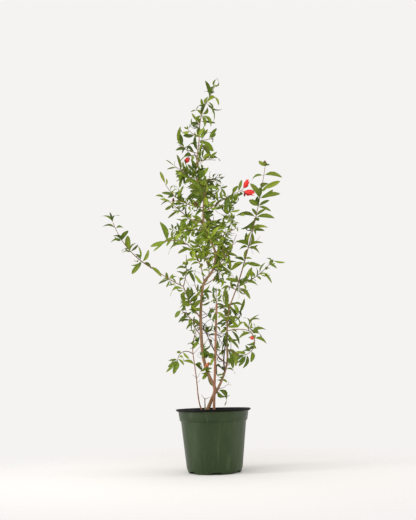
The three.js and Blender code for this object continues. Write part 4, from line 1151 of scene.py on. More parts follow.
# The limb, the tone, and for each leaf the pixels of its root, its middle and its tip, then
# its width in pixels.
SET_LEAVES = [
    ("right_tall_shoot", "leaf", [
        (264.3, 166.3, 261.5, 163.2, 258.9, 160.2, 3.4), (265, 166.3, 268, 164.7, 270.3, 166, 2),
        (263.6, 175.5, 256.3, 175.6, 251.2, 182, 3.6), (264.3, 175.3, 273, 174.6, 281.8, 179, 4.2),
        (262, 189.5, 270, 187, 279.8, 184.2, 3.6), (260.6, 198.5, 270, 195.6, 279.8, 196, 3.6),
        (258.6, 206.3, 254, 203.7, 248.5, 201.8, 4.4), (259.2, 207, 264.5, 207, 271.2, 210, 2.8),
        (257, 217.5, 264, 216.6, 273.8, 220.5, 3.6), (253.5, 230.3, 261, 226.6, 268, 228.6, 3.2),
        (253.5, 230.5, 259, 229.2, 265, 229.8, 2.2), (253.6, 230.5, 255.5, 232, 255.8, 234.3, 2.4),
        (248.4, 246.8, 253, 239.5, 251.5, 232, 3), (248.2, 246.8, 247.3, 238, 250.8, 231.8, 2.6),
        (248.2, 246.3, 242.5, 241.8, 235.8, 242.6, 4.2), (248.8, 246.5, 255, 242.3, 262.8, 243, 2.6),
        (248.6, 247.2, 254.8, 248, 259.8, 254.3, 3.6), (248.8, 247.5, 254.5, 247.5, 257.8, 245.6, 2),
        (244, 261.5, 240.5, 258, 234.5, 257.3, 2.8), (243.5, 262.3, 238, 264.5, 231, 270.8, 3.6),
        (243.5, 262.3, 238.5, 263.8, 233.8, 265.2, 2), (244.5, 262.6, 252.5, 264, 261, 265.6, 2.6),
        (238.6, 281.5, 236.8, 278, 236.6, 275, 3), (237.9, 282.5, 233.5, 281.3, 230.5, 283, 1.8),
    ]),
    ("right_tall_shoot", "fresh_leaf", [
        (261.6, 189, 263.2, 184, 268.8, 183, 5), (244.2, 258.8, 248, 258, 251.8, 259.2, 1.6),
        (240.5, 272, 247.5, 263, 256.8, 262.4, 1.4),
    ]),
    ("right_tall_shoot", "dark_leaf", [
        (259.3, 198.5, 255.8, 189.7, 250.3, 182.5, 4.8), (258.6, 206, 257.5, 201.5, 257, 197.3, 2.4),
        (259, 206.5, 263.5, 202.7, 269.3, 200.2, 2.2), (256.6, 216, 254.5, 212.5, 251.5, 209, 3),
        (256.8, 216.3, 260.5, 212.3, 265.4, 210.3, 2), (256, 217.3, 247, 214, 236, 217.5, 3.4),
        (256.8, 217.5, 257.5, 219.7, 258.8, 221.8, 2.4), (253.3, 229.5, 252.8, 224.5, 254, 220.3, 3.2),
        (253, 230.5, 250.5, 227.7, 248.4, 225.6, 2.6), (253.2, 230, 255.8, 227, 258.8, 224.8, 2.4),
        (252, 232, 248.5, 230, 246, 231.5, 1.8), (248.4, 246.8, 246.5, 240, 246.3, 232.5, 2.8),
        (248, 247, 243.5, 246.6, 239.3, 250, 2.2), (248.5, 248.5, 245.3, 252.6, 243.8, 260, 2.4),
        (244.5, 262.4, 247.5, 263.5, 248.3, 261.2, 1.8), (238.3, 281.5, 231, 279.6, 225.3, 279.4, 2.6),
    ]),
    ("right_outer_shoot", "dark_leaf", [
        (240, 285.5, 240, 281, 247, 277.8, 2), (256, 277, 257.8, 271.5, 255.5, 267.5, 1.8),
        (244, 284, 244.5, 279.5, 246.8, 276, 2.4), (250, 281, 253, 278.5, 256, 281, 1.8),
        (262, 272, 267.5, 275.5, 272, 282, 2), (265, 269.5, 267.5, 267.5, 269.8, 268.8, 2.2),
    ]),
    ("right_outer_shoot", "fresh_leaf", [
        (243, 284, 248.5, 274, 252.3, 266.5, 2.8), (251.5, 279.8, 251.5, 274.5, 251, 269, 2.2),
        (254, 278, 253.3, 273.5, 251, 270.8, 2.2), (258, 275, 264, 273, 270, 274.5, 1.6),
        (269.5, 265, 270.5, 262.5, 273.5, 259, 2.6), (270, 265.5, 273.5, 265.6, 276.8, 268.6, 2),
        (272.8, 260.3, 278, 261.5, 285.3, 261.2, 1.4), (271.5, 261, 269, 258.3, 265.5, 258.6, 1.2),
        (260, 274, 260.5, 268, 265.5, 262.5, 1.2),
    ]),
    ("right_outer_shoot", "leaf", [
        (246, 282.8, 253, 281.6, 258.3, 285.8, 2.6), (256.5, 276.5, 258.8, 277.5, 260.8, 280.2, 1.6),
    ]),
    ("right_node_shoot", "dark_leaf", [
        (237.5, 285.2, 232.5, 284.6, 229.3, 290.4, 2.6), (238.5, 289, 241.5, 293, 245, 294.2, 1.4),
    ]),
    ("right_node_shoot", "leaf", [
        (237.8, 285.5, 237, 288.5, 238.8, 292, 2.2), (238, 284, 243.6, 283.6, 244.8, 290, 3.2),
        (239.5, 287.5, 245, 291, 250.7, 298.4, 3.6), (238.5, 284.3, 245, 281, 253, 281.6, 2.8),
    ]),
    ("left_node_shoot", "leaf", [
        (234.5, 289.5, 231.5, 284.5, 231.3, 279.5, 2), (228, 286.7, 225.5, 289.5, 225, 294, 2.4),
    ]),
    ("left_node_shoot", "dark_leaf", [(231, 287.5, 226, 286.3, 221, 289.5, 2.4)]),
    ("far_left_shoot", "leaf", [
        (112.8, 220.3, 107, 216, 100.3, 216.8, 2), (122, 239.5, 118, 236.4, 112.8, 236.8, 2),
        (141, 258.5, 140.9, 251.5, 138.5, 246.4, 1.9), (142, 262.2, 137.8, 267.3, 132.2, 275, 3.4),
        (140.5, 262.3, 135.8, 265.3, 130.6, 264.9, 1.6), (137.5, 260, 134, 262.5, 133.8, 260, 1.3),
    ]),
    ("far_left_shoot", "dark_leaf", [
        (112.9, 220.3, 115.3, 214.8, 120.2, 216.4, 1.5), (112.8, 220, 111.4, 216.5, 110.4, 213, 1.4),
        (116, 228, 109.5, 224.8, 102.5, 227.3, 1.8), (116.5, 228.3, 120.3, 226.6, 124.8, 230, 2.2),
        (122.8, 240, 124.4, 234, 128, 230.4, 3.6), (121.8, 240.2, 115.8, 239.6, 110.3, 243.4, 2.2),
        (130.6, 250.5, 127.8, 242.8, 127.2, 234.8, 4.4), (130.8, 250.3, 132.5, 245.3, 138, 244, 1.4),
        (131, 251, 135, 247.8, 137.8, 244.3, 1.6), (130, 251, 126, 247.8, 121, 250.6, 1.5),
        (130.5, 252, 126, 250.8, 120.6, 253.6, 1.6), (142.3, 261.3, 146.8, 256.8, 149, 250, 3.2),
        (141, 259.8, 137, 254, 133.3, 254.3, 2.6), (143.5, 262.5, 147.5, 263.6, 150.8, 268.2, 2.6),
        (150, 266, 156, 270, 161.8, 277, 2.6),
    ]),
    ("far_left_arm", "fresh_leaf", [(168.5, 279.5, 166.8, 275.5, 165.8, 272, 1.8)]),
    ("far_left_arm", "leaf", [
        (170.5, 280, 165, 278.6, 160, 281.6, 2.6), (169.5, 280, 164, 281.5, 158.6, 285, 1.6),
        (176, 282.3, 171.5, 285.2, 167.5, 286, 1.4),
    ]),
    ("far_left_arm", "dark_leaf", [(171, 280, 173.8, 276.3, 179, 277.8, 1.6)]),
    ("broad_leaf_shoot", "fresh_leaf", [
        (166.5, 241.2, 165.2, 231.5, 159.2, 220.6, 5.8), (168, 241.2, 160, 244.4, 151, 248.9, 3.8),
        (165, 241.8, 158.5, 246.8, 153, 251.2, 1.5), (176, 241, 178.5, 235.5, 183.5, 233, 4.2),
        (180, 241.3, 175.5, 237.8, 170, 240.4, 1.8), (185, 243.5, 186, 236, 182.5, 229.5, 3),
        (186.5, 244.5, 189.5, 240.5, 189, 236, 2.4),
    ]),
    ("arching_bough", "fresh_leaf", [(188.5, 246, 177, 243.6, 168.2, 256.6, 3.8)]),
    ("broad_leaf_shoot", "leaf", [
        (172.5, 241.3, 171.8, 235.5, 174.8, 231.5, 1.6), (174, 241, 172.5, 230, 177, 227.8, 2.2),
    ]),
    ("arching_bough", "leaf", [
        (192.5, 250.2, 190.8, 254.3, 192.9, 259, 2.6), (191.8, 249.6, 188.5, 250.4, 185.6, 250, 1.8),
        (191, 249, 184.5, 250.3, 178, 254.8, 2.4), (198.2, 260.5, 191, 259.2, 185, 260.6, 2.2),
        (199.5, 263.5, 194.8, 262.8, 190, 266.8, 2.4), (197, 256.5, 200, 253.5, 199.5, 249, 2.4),
        (201.5, 268, 201.3, 265.8, 201.7, 263.3, 2.2), (202.3, 271, 205.5, 269.8, 210.2, 271.6, 2.2),
    ]),
    ("arching_bough", "dark_leaf", [
        (195.5, 254, 197.5, 250.5, 201, 250, 1.8), (199, 262, 197.5, 259.5, 197.8, 256.8, 2.2),
    ]),
    ("left_upright_shoot", "dark_leaf", [
        (187, 268.5, 190, 270.3, 191, 267, 3.6), (186.5, 264, 184.3, 263.6, 182, 264.8, 1.4),
        (185.5, 276.5, 181.5, 272, 176.2, 270.5, 1.6), (187, 270.5, 184.5, 272.5, 182.5, 276.5, 1.6),
    ]),
    ("left_upright_shoot", "leaf", [
        (187, 269, 180.8, 267, 175.3, 270.8, 2.8), (186, 265.5, 184.5, 263, 183, 262, 2.2),
        (185.3, 277.5, 190, 271, 200.3, 272.7, 2.2), (185, 278.5, 181, 277.5, 181.4, 285.6, 3),
        (186, 266, 187, 262, 186, 258, 1.8),
    ]),
    ("leader_stem", "fresh_leaf", [
        (202.8, 284, 199, 281, 194.8, 275.8, 2.2), (204.7, 374.3, 209.8, 378, 212.3, 385.8, 2.9),
        (199.9, 137, 204.3, 131.2, 202.9, 125.6, 3.2), (199.9, 137, 201, 132.3, 204.3, 129.8, 2.5),
        (199.5, 141, 202.6, 142.3, 201, 146.5, 2.6), (198.2, 151, 199.6, 154, 199.2, 158, 3.4),
        (202.5, 194, 196, 186, 189.5, 181, 3.4), (203, 196, 197, 189.5, 191, 187.5, 2.6),
        (199.5, 181, 204, 174.5, 208.7, 170, 3), (207.5, 234, 204, 239.5, 197.5, 236.3, 2),
        (208.5, 237, 202.5, 238.3, 195.5, 240.5, 2.6), (209.3, 239, 203, 241.5, 196.8, 243.3, 2.2),
        (209.5, 240, 205, 243.5, 206.3, 248, 2.4), (210.2, 241.5, 208.3, 234, 208.4, 227.2, 3.4),
        (210.8, 240.5, 214, 233.5, 219.8, 228.7, 3.2),
    ]),
    ("leader_stem", "dark_leaf", [
        (202.6, 283.8, 199.8, 282.5, 197.3, 281, 1.4), (203, 293.5, 208.5, 291, 213, 292.6, 2.4),
        (203.2, 290.5, 207, 289.5, 209.7, 284.3, 2), (202, 301, 204.3, 298.6, 206.6, 298, 1.8),
        (202, 305.5, 206, 304.2, 210, 301.8, 1.2), (202.3, 297, 208, 294.6, 211.6, 297, 1.2),
        (205.5, 371, 203.8, 374.3, 200.5, 373, 3), (203.5, 351.5, 209, 355.3, 214, 354.4, 2.2),
        (203.3, 352.5, 206, 355.3, 206, 358.3, 2), (203.4, 349.7, 208, 348.2, 210.5, 345.8, 1.5),
        (199.3, 143, 194.3, 141.5, 195.2, 137.6, 2.4), (198.8, 151, 195.3, 145.5, 195.3, 138, 2.6),
        (198.8, 147, 191.5, 142.3, 187, 150, 2.5), (197, 172, 194.5, 166.5, 191.2, 160, 2.6),
        (197.3, 170, 194, 167.5, 192, 165, 2), (201, 189, 193, 184, 186.5, 186.8, 3.6),
        (203.5, 198, 199.5, 192.5, 194.5, 189.5, 2.4), (203.5, 200.5, 198.5, 203, 195, 207.5, 2.4),
        (203, 200, 208, 197.5, 211.5, 198.4, 3), (198.3, 175.5, 201.5, 168.8, 206, 169.3, 2.4),
        (198.7, 178, 201.5, 170.5, 205.5, 167.7, 2.2), (203.4, 212.5, 197.5, 209.5, 194, 212.5, 2.6),
        (203.2, 207.5, 208, 206.3, 213, 207.2, 2.4), (203.3, 211.5, 207.5, 212.5, 213.6, 211.8, 3),
        (203.4, 214, 208.5, 216.7, 213.5, 215.7, 2.8), (203.6, 217, 208, 218.2, 210.5, 216.5, 2),
        (209, 238, 213, 233.5, 211.3, 228.3, 2.2), (211, 241, 214, 238.6, 217.3, 235.3, 2.4),
    ]),
    ("far_left_bough", "fresh_leaf", [
        (184.8, 289.5, 176.8, 287.3, 171.1, 298.2, 2.8), (185.3, 290.5, 182.7, 296, 184.5, 302.8, 4),
        (191, 304.3, 187, 304.6, 184, 303, 3),
    ]),
    ("far_left_bough", "dark_leaf", [
        (189.5, 301, 188, 294, 187.8, 287.6, 2.8), (190.3, 298.5, 191.8, 292, 190, 285.8, 2.6),
        (186, 294.3, 183, 293.6, 180, 294.5, 1.8), (190, 300, 192.5, 295, 196, 293, 1.6),
        (192.5, 305.5, 194.8, 302, 194, 299.5, 2.2), (190.5, 303.5, 185, 302, 180.2, 304, 1.6),
        (193, 307.5, 191.3, 310, 188.8, 310, 2.8),
    ]),
    ("left_cluster_shoot", "leaf", [(190.5, 302.5, 192.8, 299, 195.5, 296.8, 2.6)]),
    ("far_left_bough", "leaf", [
        (194.5, 308.5, 197.5, 303, 200.3, 300.3, 3), (190, 302.5, 184.8, 303, 179.8, 299.6, 1.8),
        (191.5, 305, 184.5, 303.8, 178.7, 308, 2.4), (193.5, 308, 193.5, 312, 196.8, 314.8, 3),
        (191.5, 304.5, 194, 308.5, 196.8, 311, 2.8),
    ]),
    ("left_cluster_shoot", "dark_leaf", [(190, 301.5, 195.5, 298.6, 199, 301.5, 1.6)]),
    ("left_low_shoot", "leaf", [
        (181, 310, 183, 309.3, 185.4, 306.6, 2.4), (181, 310.3, 178.3, 313, 175, 317.5, 3.4),
        (188.5, 316, 189, 313.3, 192, 311.2, 3), (189.5, 317, 182.5, 317.6, 177.8, 322.6, 2.8),
        (193.5, 320.5, 190, 321, 188.6, 326, 3.8), (195.5, 322.3, 189.8, 325, 186.2, 330.2, 1.8),
        (198.8, 325, 197.2, 321.8, 194.8, 319, 2.2), (184, 312.5, 184.5, 315.8, 181.5, 318.5, 1.8),
    ]),
    ("left_low_shoot", "dark_leaf", [
        (188, 315.5, 188, 313.8, 186.6, 312.6, 1.8), (199, 325.3, 196.3, 325.3, 193.9, 330, 1.8),
        (199.3, 325.8, 199.6, 328.6, 196.8, 330.8, 1.5),
    ]),
    ("leader_stem", "leaf", [
        (202.5, 291, 206.3, 294.5, 208.7, 300.4, 2.2), (202, 292.5, 200.3, 290.5, 198, 289.8, 1.6),
        (203.3, 350.5, 205.8, 352.8, 208.5, 355.3, 2.6), (199.6, 132, 196.8, 127.2, 193.2, 128.4, 1.7),
        (199.8, 138, 198.6, 133, 200.6, 128.3, 3), (199.9, 135, 205.6, 131, 207.7, 126.7, 2.8),
        (200, 186, 194, 182.5, 188, 180.3, 3), (203, 192.5, 200.5, 184, 196, 177, 3.6),
        (201.5, 191, 195, 188.5, 188, 190.5, 2.6), (202.5, 197.5, 196, 193.5, 190.5, 195.5, 2.6),
        (203, 199.5, 197, 197.5, 191.5, 197, 3), (203.7, 196.5, 206.5, 191.5, 211.5, 192.3, 2),
        (200, 184.5, 203, 181, 204.5, 176.5, 2.4), (198, 176, 199.5, 172.5, 199.2, 168.6, 2.6),
        (199.3, 180.5, 201.5, 174.5, 203.5, 171.5, 2.6), (203.4, 210, 198, 212, 194.8, 215.6, 3),
        (203.2, 206, 207, 202.3, 211.5, 202.4, 2.6), (203.3, 213, 209.5, 213, 214, 214.6, 2.4),
        (206.5, 231, 205.5, 236.2, 201.5, 237.3, 2), (214.2, 255.5, 212, 259, 212.8, 263.5, 2.2),
        (213.6, 268, 216, 262, 217.8, 255.8, 2.8), (213.4, 269, 217.2, 265.5, 218.6, 258.5, 2.4),
        (204, 351, 207, 353, 210, 355.5, 2.6), (204.5, 357.5, 207, 356.5, 208.3, 353.2, 2),
    ]),
    ("bottom_left_shoot", "dark_leaf", [(180.5, 353, 178.6, 352, 176.8, 351.8, 2)]),
    ("bottom_left_shoot", "leaf", [
        (178.8, 357.5, 182.8, 357, 183.5, 361.3, 2.2), (178.6, 359, 182, 362.3, 183.9, 365.4, 2),
        (178.3, 360.5, 174.5, 359.6, 171.2, 364, 2.4), (178.3, 360.8, 174, 359.8, 168.5, 361.3, 1.2),
        (178.2, 361, 173, 363.3, 167.6, 366.9, 2), (178.2, 361.2, 172.5, 366.3, 166.2, 372.2, 2.2),
        (183, 351.8, 186.5, 356.8, 189.3, 359.3, 1.8),
    ]),
    ("bottom_left_shoot", "fresh_leaf", [
        (178.4, 361.3, 177.3, 367, 174.6, 371.8, 2.8), (178.2, 361.3, 175.3, 367.5, 173.2, 374, 3.4),
    ]),
    ("left_stem", "leaf", [(193.5, 365, 187.8, 360.8, 182.8, 361.3, 2.4)]),
    ("left_stem", "dark_leaf", [
        (193.5, 345, 192.8, 342.5, 193.7, 340.5, 2.2), (193.5, 346, 190, 342.6, 187.6, 344.8, 1.8),
        (194, 349.5, 194.3, 346.5, 196.5, 342, 2), (194.3, 364.2, 197.8, 365.6, 201.7, 369.6, 3.6),
        (194.3, 364, 200.5, 363.6, 201, 370.8, 2.2),
    ]),
    ("left_stem_shoot", "fresh_leaf", [(193.8, 345.8, 196, 344.5, 198.8, 341.3, 2.6)]),
    ("left_stem_shoot", "dark_leaf", [
        (194.8, 337.5, 195.6, 336.5, 194.4, 334.5, 2.2), (195.2, 340.5, 199.3, 338.5, 199, 334, 4),
        (195, 339.5, 197.5, 336.8, 196.2, 333.8, 1.8), (193.5, 344.5, 198.5, 343, 200.8, 346.3, 1.6),
        (196, 334, 192.8, 330.8, 188, 331, 1.2), (197.5, 329.5, 193.5, 331.5, 194.5, 334.5, 1.4),
    ]),
    ("low_flower_shoot", "dark_leaf", [
        (205.8, 367.5, 208.5, 368.6, 213, 367.5, 2.8), (205.2, 366.8, 208.8, 372, 213, 372.4, 2.8),
        (205, 366.3, 203.8, 370, 200.3, 371.5, 2.4),
    ]),
    ("front_stem", "leaf", [
        (214.5, 356.5, 212.6, 361, 210.3, 365.6, 2.4), (217, 313, 211, 309.8, 210.4, 319.4, 3.4),
        (216.7, 315, 213.5, 318.5, 213.8, 323, 2),
    ]),
    ("right_stem", "dark_leaf", [
        (219.3, 390.8, 225.3, 392.5, 224.5, 405.5, 4.9), (224.2, 372, 216.5, 364.5, 216.9, 376, 2.4),
        (224, 374.5, 219.5, 374.8, 216.6, 375.3, 1.2), (223.8, 375.5, 221, 377.8, 217.5, 375.8, 1.8),
        (223.5, 378, 220, 380.3, 216.6, 379.4, 1.6), (223.6, 380.8, 225.5, 380.6, 227.3, 382.2, 1.6),
        (225.8, 369.3, 231.5, 368.8, 235, 374.8, 1.9), (224.5, 369.3, 222.8, 368.3, 221.8, 366.3, 2),
        (227, 338, 233.6, 342.3, 238.8, 349.4, 1.7), (227, 343, 223.5, 345, 222.3, 349.5, 1.8),
        (226, 319, 222, 316, 218, 313, 2),
    ]),
    ("right_base_shoot", "dark_leaf", [
        (229.5, 352.5, 235, 356, 236, 366.8, 4.8), (229.3, 353, 231.8, 360.8, 232.8, 369, 2.8),
        (227.5, 350.5, 233, 350.8, 236.8, 354.8, 1.9), (232, 351.8, 237, 353.6, 240.6, 357.6, 2),
    ]),
    ("right_stem", "leaf", [
        (227, 357.5, 229.5, 361, 228, 366, 3.2), (226.7, 346, 224.4, 340.5, 224.9, 335.8, 3.4),
        (227.3, 327.5, 234.5, 326.5, 238.8, 326.5, 2.3), (227.2, 334.5, 230, 338.5, 232.7, 343.4, 2),
        (227, 322.5, 223.8, 320.3, 221.3, 322.9, 2.3), (227, 331.5, 222.8, 330.3, 219.8, 333.8, 2.4),
        (227.2, 329.8, 224, 327.3, 221.6, 328.6, 2), (226.8, 349, 222.6, 352.6, 222.5, 357.8, 2.2),
        (228, 339, 226, 341, 227.5, 345.5, 2.6), (227, 335, 224.5, 337.5, 225.5, 342.5, 2.4),
        (227.5, 331, 223.5, 331.3, 220.5, 333.3, 2), (228, 313, 225, 311, 222.5, 311.5, 2.6),
        (228.5, 316, 226, 312, 225, 308, 2.8), (229, 308, 226.5, 304, 226, 300, 3),
        (229, 316, 232, 319, 235, 322, 2.4),
    ]),
    ("bud_shoot", "fresh_leaf", [
        (250, 331.5, 249.6, 334.2, 241.3, 329.4, 3.2), (252.5, 335, 251, 337.3, 248.5, 337.6, 2.6),
        (252.8, 335.3, 255, 337, 253.6, 340, 3.2),
    ]),
    ("bud_shoot", "leaf", [
        (251.5, 333.5, 247, 332.6, 238.5, 338.8, 2.6), (251.8, 333.5, 261, 327, 267.3, 329.4, 3),
        (252, 334, 260, 333.3, 262, 339.8, 3.2), (253.8, 338.5, 260.8, 338.6, 266.5, 344, 2.8),
        (255, 341, 251.5, 344.4, 246.6, 344.3, 2.2), (254.8, 344.5, 252.6, 347.3, 250, 348.5, 3.2),
        (252, 350.5, 248.3, 348.8, 245.6, 345.3, 2), (251.5, 351, 252.8, 355.5, 251.3, 362.2, 3.6),
        (250.5, 352, 246.5, 349.8, 243, 351, 1.9), (246, 354, 241.5, 351.8, 238, 355, 2.2),
        (245.5, 354.3, 243.4, 360.3, 238.6, 366.4, 2.7), (244.3, 354.7, 240.3, 356.6, 237, 359.6, 2.3),
    ]),
    ("bud_shoot", "dark_leaf", [
        (250.3, 331.7, 255.5, 328.3, 253.3, 323.6, 2.8), (251.3, 333, 257.5, 329.3, 258.7, 324, 1.5),
        (246.5, 354, 248, 360, 243.2, 367.8, 2.9), (243.5, 355, 240.8, 360.6, 236.8, 363, 1.9),
    ]),
    ("right_low_upright_shoot", "dark_leaf", [
        (249, 327, 251.5, 319.5, 258.5, 315, 1.3), (249.3, 324.5, 246.8, 317.3, 243, 318.6, 1.6),
        (250, 320.5, 255, 318.6, 260, 319.4, 1.3),
    ]),
    ("right_low_upright_shoot", "leaf", [
        (249, 329, 251.5, 325, 250.5, 321, 1.6), (249, 328, 245.5, 325, 243.5, 321.8, 1.6),
    ]),
    ("right_low_bough", "leaf", [(230.5, 330.3, 234, 329.6, 238, 334.3, 2.2)]),
    ("right_low_bough", "dark_leaf", [(230.5, 330.3, 237, 336.3, 239.6, 344, 2)]),
    ("right_cluster_side_shoot", "fresh_leaf", [
        (230, 320.2, 235.6, 316.8, 240.2, 324.6, 3.3), (232, 319, 234.5, 323.8, 238.5, 326.8, 2.6),
        (236.5, 314.8, 236.5, 309, 233.8, 304.3, 3),
    ]),
    ("right_low_bough", "fresh_leaf", [(237, 329.3, 244.5, 321.8, 249, 329.4, 2.7)]),
    ("right_cluster_side_shoot", "dark_leaf", [
        (235, 315.5, 238.5, 311, 241.7, 317.4, 2.3), (234.5, 316.5, 235, 310.8, 233, 308.3, 2),
        (238.5, 313.5, 242.8, 305.8, 244.4, 299, 2),
    ]),
    ("crossing_shoot", "dark_leaf", [
        (206, 333, 211, 329.8, 212, 321.5, 2), (206.5, 334, 210.5, 324.8, 214.8, 326.3, 3.4),
        (205.8, 332.8, 207.8, 325, 204.8, 327.2, 3), (204.8, 331, 203.5, 327, 205.5, 323, 1.8),
        (208, 337, 213, 333.8, 218.8, 335.2, 1.7), (209, 338.5, 211.5, 342.5, 209.8, 346, 2),
    ]),
    ("crossing_bough", "dark_leaf", [
        (213.5, 349, 216.5, 346.3, 219.8, 348, 2), (214.5, 351, 218, 344, 217, 340, 1.8),
        (217.3, 355.3, 222.3, 351, 221.8, 345.8, 1.7),
    ]),
    ("front_stem", "dark_leaf", [
        (217, 312, 220.8, 314.3, 225.8, 319.8, 3), (217, 307.8, 221.5, 306.6, 225.3, 309.5, 1.7),
        (217, 309.5, 213, 310.5, 211.6, 314.5, 2.2), (216.3, 325, 220.5, 323, 225, 327, 1.9),
        (216.3, 326.5, 219.8, 329.3, 219.8, 333, 1.7), (215, 355, 212, 354.5, 208.5, 354, 1.6),
        (216, 347, 218, 347, 220.5, 347.5, 1.6),
    ]),
    ("front_top_shoot", "leaf", [
        (217, 302.5, 213.6, 299.6, 211.5, 302.3, 2.8), (216, 297, 219.5, 293.4, 218.3, 288.5, 2.6),
        (216, 293, 213, 288.8, 214.8, 284.8, 2.2), (216.8, 302, 220.5, 300.6, 223.5, 303.3, 2.2),
    ]),
    ("front_top_shoot", "dark_leaf", [
        (216, 299.5, 213.5, 295.5, 213.8, 291, 2), (216.3, 290.5, 220, 290.3, 222, 293.5, 2.4),
    ]),
    ("leader_top_shoot", "leaf", [
        (214, 86.5, 213.6, 82.3, 215.8, 79.3, 1.9), (213.5, 87.5, 219, 84.3, 216, 79.6, 1.6),
        (213.3, 88, 216.8, 85.6, 219.3, 87, 1.9), (212.5, 90, 211, 87.3, 209, 90, 1.6),
        (209.5, 97, 208.6, 89, 205.3, 83.5, 3.1), (210.3, 95, 206.8, 90.6, 203.8, 92.2, 2.3),
        (211, 94, 211.8, 91.5, 210.5, 89.3, 2), (209.5, 97.5, 210.6, 95.3, 213.4, 95.3, 2.3),
        (206, 104.5, 205.6, 98.5, 208.2, 93.5, 2.9), (206, 104.2, 212.6, 96.8, 218.6, 106.6, 3.9),
        (206.5, 103, 213, 108, 212.9, 119.8, 1.8), (204, 107.5, 202, 103.8, 201, 99.8, 2.1),
        (203.8, 108, 200.5, 104.8, 196.6, 109.5, 1.8), (202, 114.3, 206.3, 111.3, 207.4, 104.8, 3.1),
        (201, 116.5, 196.8, 110, 191, 112.7, 3.7), (200, 125, 195, 124.3, 190.8, 126.8, 2.2),
        (201.5, 115.5, 204.8, 120.3, 204.9, 126.3, 2.9), (201.7, 115.2, 209.2, 120.3, 211, 130.6, 3.2),
        (200.5, 121.5, 211.8, 122.3, 215.6, 123.2, 1.8),
    ]),
    ("leader_top_shoot", "dark_leaf", [
        (207.3, 101.5, 211.8, 105, 211.3, 113.8, 2.7), (201.8, 114.5, 202.3, 109.3, 204.7, 105, 2.8),
        (200.2, 121.5, 195.7, 119.6, 191.5, 115.2, 2.5), (200, 124.8, 192, 126, 191.9, 119.5, 2.7),
        (200, 125.2, 191, 125, 189.3, 131.2, 2.5),
    ]),
    ("leader_top_shoot", "fresh_leaf", [(200, 124, 198.3, 120.4, 196.3, 116.6, 3.3)]),
    ("tip_right_shoot", "dark_leaf", [
        (202.5, 140, 207, 131.8, 213.8, 132.4, 2.8), (211, 138.5, 214, 134.8, 215.8, 133.2, 2),
        (210.5, 138.5, 212.8, 138.8, 211.8, 142, 2),
    ]),
    ("tip_right_shoot", "leaf", [(209, 139, 213, 132, 216.7, 126.8, 2.6)]),
    ("tip_left_shoot", "dark_leaf", [(194.5, 135, 191, 136, 183.2, 135.7, 3.6)]),
    ("tip_left_shoot", "fresh_leaf", [
        (189.5, 131, 187, 132.6, 182.7, 133.4, 2.6), (187.5, 129.5, 186.3, 128.6, 184, 127, 1.4),
    ]),
    ("tip_left_shoot", "leaf", [(188.5, 130.3, 181.3, 133.2, 180.6, 129, 1.5)]),
    ("leader_left_shoot", "dark_leaf", [
        (180.8, 146.5, 178.7, 137.5, 180.5, 129, 3.2), (181.5, 147, 181.8, 142, 181, 136, 2.4),
        (192, 152.3, 190, 149.8, 187.6, 151.3, 2),
    ]),
    ("leader_left_shoot", "leaf", [
        (184, 148.8, 180.8, 144, 175.8, 144.2, 2), (187, 150, 181.5, 149.2, 175.8, 152, 2.8),
    ]),
    ("tip_right_shoot", "fresh_leaf", [(200, 141, 205.3, 142.3, 213.6, 149.2, 3.6)]),
    ("high_right_shoot", "leaf", [
        (199, 145.3, 205, 146.8, 212.8, 151.6, 3.2), (205.5, 147, 203, 150.5, 203.5, 157, 2.3),
    ]),
    ("high_right_shoot", "dark_leaf", [
        (201.5, 146, 207, 150.3, 210.5, 156.5, 3), (200, 145.5, 202.5, 148.3, 204.8, 147.3, 3),
    ]),
    ("upper_right_shoot", "leaf", [
        (202, 160.2, 206, 155.5, 215, 160.6, 3.3), (210, 160, 215, 156.6, 220.2, 161.4, 2.9),
        (206, 160.2, 206.5, 156.3, 209.5, 158.3, 2.3),
    ]),
    ("upper_right_shoot", "dark_leaf", [(208, 160, 212.5, 156.5, 217, 153.6, 1.9)]),
    ("high_left_shoot", "dark_leaf", [
        (195.5, 155.2, 190.5, 147.6, 181.6, 157.2, 3.3), (188, 156.3, 189.3, 160.4, 186.3, 165.3, 1.9),
    ]),
    ("high_left_shoot", "leaf", [
        (192, 155.5, 189.8, 154.3, 184, 158.3, 3.6), (190, 156, 193.3, 159, 191.3, 163.5, 2.8),
    ]),
    ("flower_shoot", "leaf", [
        (229, 196.5, 232.8, 193.8, 232.5, 190, 2.2), (233.5, 194.8, 234.5, 190.4, 237.8, 186.8, 3),
        (238.5, 192, 240.4, 185, 241.7, 178.6, 2.7), (240, 191.3, 240.8, 194.2, 237.8, 196, 2.8),
        (238, 192.5, 236.3, 197, 233.5, 201.5, 2.6), (234, 194.5, 231.6, 199.3, 233, 203, 3),
        (230, 196, 226.5, 200.6, 227.6, 213, 3.6), (224, 199.5, 221, 193.6, 222.5, 187.5, 2.6),
        (226.5, 198.3, 224.2, 195.6, 220, 195.3, 2.4), (229, 197, 230, 205, 233.3, 208.5, 2),
        (219, 202, 217, 197, 217.8, 191, 2.4),
    ]),
    ("flower_shoot", "fresh_leaf", [
        (236, 193.3, 236, 200.5, 238.3, 200, 1.8), (231.5, 195.7, 233.5, 203.3, 236.8, 201.3, 2.4),
    ]),
    ("flower_shoot", "dark_leaf", [(224, 199.5, 219.5, 197.2, 214, 198.8, 2.6)]),
    ("ul_hook", "leaf", [(181, 171.5, 180, 164, 177, 157, 2)]),
    ("upper_left_flower_shoot", "leaf", [
        (183.5, 173, 184, 167, 181.5, 162, 3.4), (186.5, 174.8, 187.5, 170, 186.5, 165.5, 2.4),
        (182, 172, 184, 176, 188, 178, 2.2), (184, 174, 179.5, 178, 176, 179.6, 2),
        (183.5, 174, 180, 180, 176, 182.3, 1.6), (184, 174.5, 180.5, 180.5, 179, 186, 1.9),
        (191, 176.5, 188, 181.5, 192, 184.5, 2.6), (194, 177.3, 190, 172.5, 187.5, 172, 3),
        (190, 176.3, 184, 170.5, 182.5, 166, 3),
    ]),
